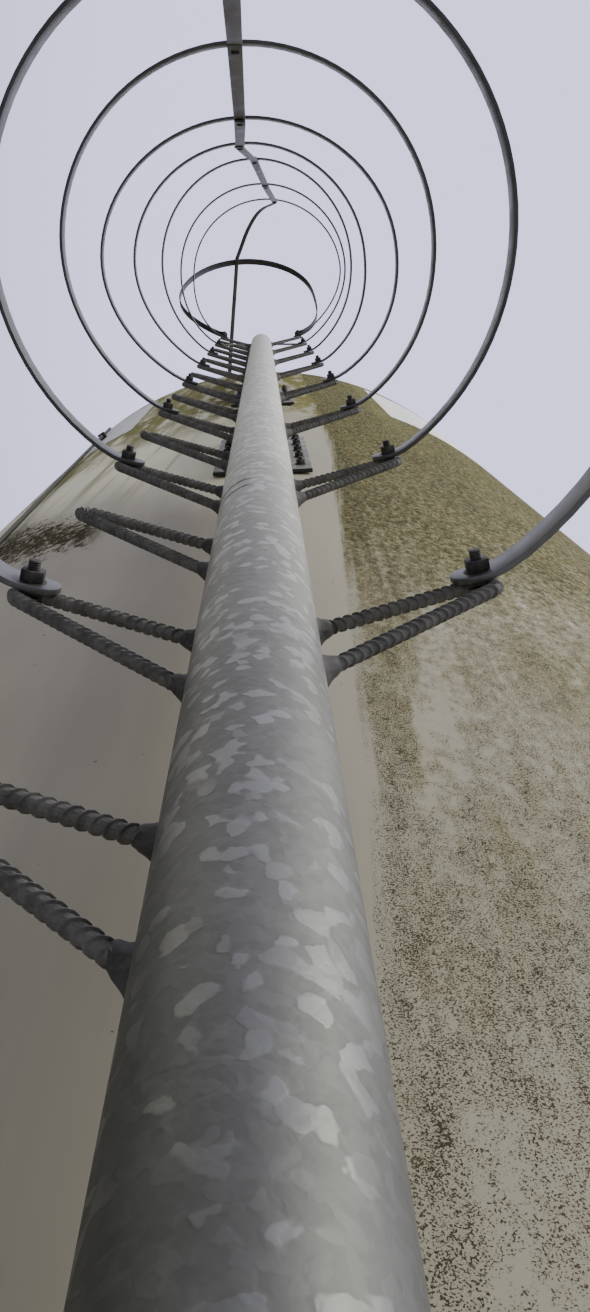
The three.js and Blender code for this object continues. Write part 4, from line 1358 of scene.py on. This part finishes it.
# %% A rod along a line
def round_rod(name, points, radius, sides=16):
    """A straight rod of many short lengths, bent along points."""
    length = route_length(points)
    count = max(8, int(length / 0.05))
    rod = ring_stack(name, [(radius, length * number / count) for number in range(count + 1)], sides)
    bend_along(rod, points, 0.05)
    close_ends(rod)
    smooth(rod, 60)
    return rod


# %% Wall rod
ROD_RADIUS = 0.0055
ROD_STANDOFF = 0.012
ROD_TOP_ANGLE = radians(31.5)
ROD_BOTTOM_ANGLE = radians(23)
ROD_BOTTOM = 1.950
ROD_TOP = 6.040
ROD_POINTS = 24
rod_distance = WALL_RADIUS + ROD_STANDOFF
rod_points = []
for number in range(ROD_POINTS + 1):
    share = number / ROD_POINTS
    angle = -pi / 2 - (ROD_BOTTOM_ANGLE + (ROD_TOP_ANGLE - ROD_BOTTOM_ANGLE) * share)
    level_place = (SILO_X + rod_distance * cos(angle), SILO_Y + rod_distance * sin(angle))
    rod_points.append(Vector((*level_place, ROD_BOTTOM + (ROD_TOP - ROD_BOTTOM) * share)))
dress(round_rod("wall_rod_bar", rod_points, ROD_RADIUS), rod_material, "dark_rod", "wall_rod")

# %% Top ties
TIE_RADIUS = 0.004
TIE_SIDES = 12
TIE_TOP = pole_spans["upper"][1] - 0.030
tie_low = (STEP_COUNT - HOOP_EVERY) * STEP_PITCH + STEP_RISE + STEP_BEND_RADIUS
ties = []
for side in (-1, 1):
    tie_points = [Vector((side * STEP_REACH, -STEP_FORWARD, tie_low)), Vector((side * STEP_ROOT, 0, TIE_TOP))]
    ties.append(round_rod("tie", tie_points, TIE_RADIUS, TIE_SIDES))
dress_on_pole(join("pole_top_ties", ties), 60, rod_material, "dark_rod", "step_pole_upper")

# %% [markdown]
# ## Floor, light and camera
# The floor is a pale plane, which only shows in views from outside. The sky is one pale colour, brightest
# overhead and to the right, and darker towards the ground and the left. A large soft lamp high on the right
# brightens that side, as in the photograph, and a weak one on the left keeps its shadows open.

# %% Floor
select_none()
bpy.ops.mesh.primitive_plane_add(size=40, location=(0, 0, 0))
floor = bpy.context.object
floor.name = "floor"
floor_finish = Finish("pale_floor", Roughness=0.9)
floor_finish.shader.inputs["Base Color"].default_value = colour(0.40, 0.40, 0.39)
floor.data.materials.append(floor_finish.material)

# %% Light
SKY = colour(1.22, 1.21, 1.72)
SHADED_SIDE = colour(0.12, 0.12, 0.12)
LAMP_SIZE = 5.0
world = bpy.data.worlds.new("overcast")
world.use_nodes = True
sky = Graph(world.node_tree)
towards = sky.split(sky.add("ShaderNodeTexCoord", output="Generated"))
openness = sky.rise(towards[2] + towards[0] * 0.78 + towards[1] * 0.05, 0.30, 0.95)
sky_colour = sky.blend(openness, SHADED_SIDE, SKY)
world.node_tree.links.new(sky_colour.socket, world.node_tree.nodes["Background"].inputs["Color"])
bpy.context.scene.world = world

lamp_rows = (
    ("soft_left", (-5.0, -4.2, 9.5), (-0.6, -1.0, 5.2), 60, (1.0, 0.98, 0.90)),
    ("soft_right", (6.5, -4.8, 6.5), (0, -1.0, 3.6), 560, (1.0, 0.98, 0.88)),
)
for name, place, target, power, shade in lamp_rows:
    lamp = bpy.data.lights.new(name, "AREA")
    lamp.shape = "DISK"
    lamp.size = LAMP_SIZE
    lamp.energy = power
    lamp.color = shade
    holder = add_object(name, lamp)
    holder.location = place
    holder.rotation_mode = "QUATERNION"
    holder.rotation_quaternion = (Vector(target) - Vector(place)).to_track_quat("-Z", "Y")
    print(name, power, "watts")

# %% Camera
CAMERA_PLACE = Vector((0.01544, -1.27904, 1.655))
CAMERA_UP = radians(70.59)
CAMERA_TURN = radians(2.611)
CAMERA_ROLL = radians(-5.109)
ahead = Vector((sin(CAMERA_TURN) * cos(CAMERA_UP), cos(CAMERA_TURN) * cos(CAMERA_UP), sin(CAMERA_UP)))
level_right = Vector((cos(CAMERA_TURN), -sin(CAMERA_TURN), 0))
level_up = level_right.cross(ahead)
right = level_right * cos(CAMERA_ROLL) + level_up * sin(CAMERA_ROLL)
top = level_up * cos(CAMERA_ROLL) - level_right * sin(CAMERA_ROLL)
camera_data = bpy.data.cameras.new("photo_camera")
camera_data.lens = 28.80
camera_data.sensor_width = 36.0
camera_data.clip_start = 0.02
camera = add_object("photo_camera", camera_data)
camera.matrix_world = Matrix((right, top, -ahead)).transposed().to_4x4()
camera.location = CAMERA_PLACE
bpy.context.scene.camera = camera
bpy.context.view_layer.update()
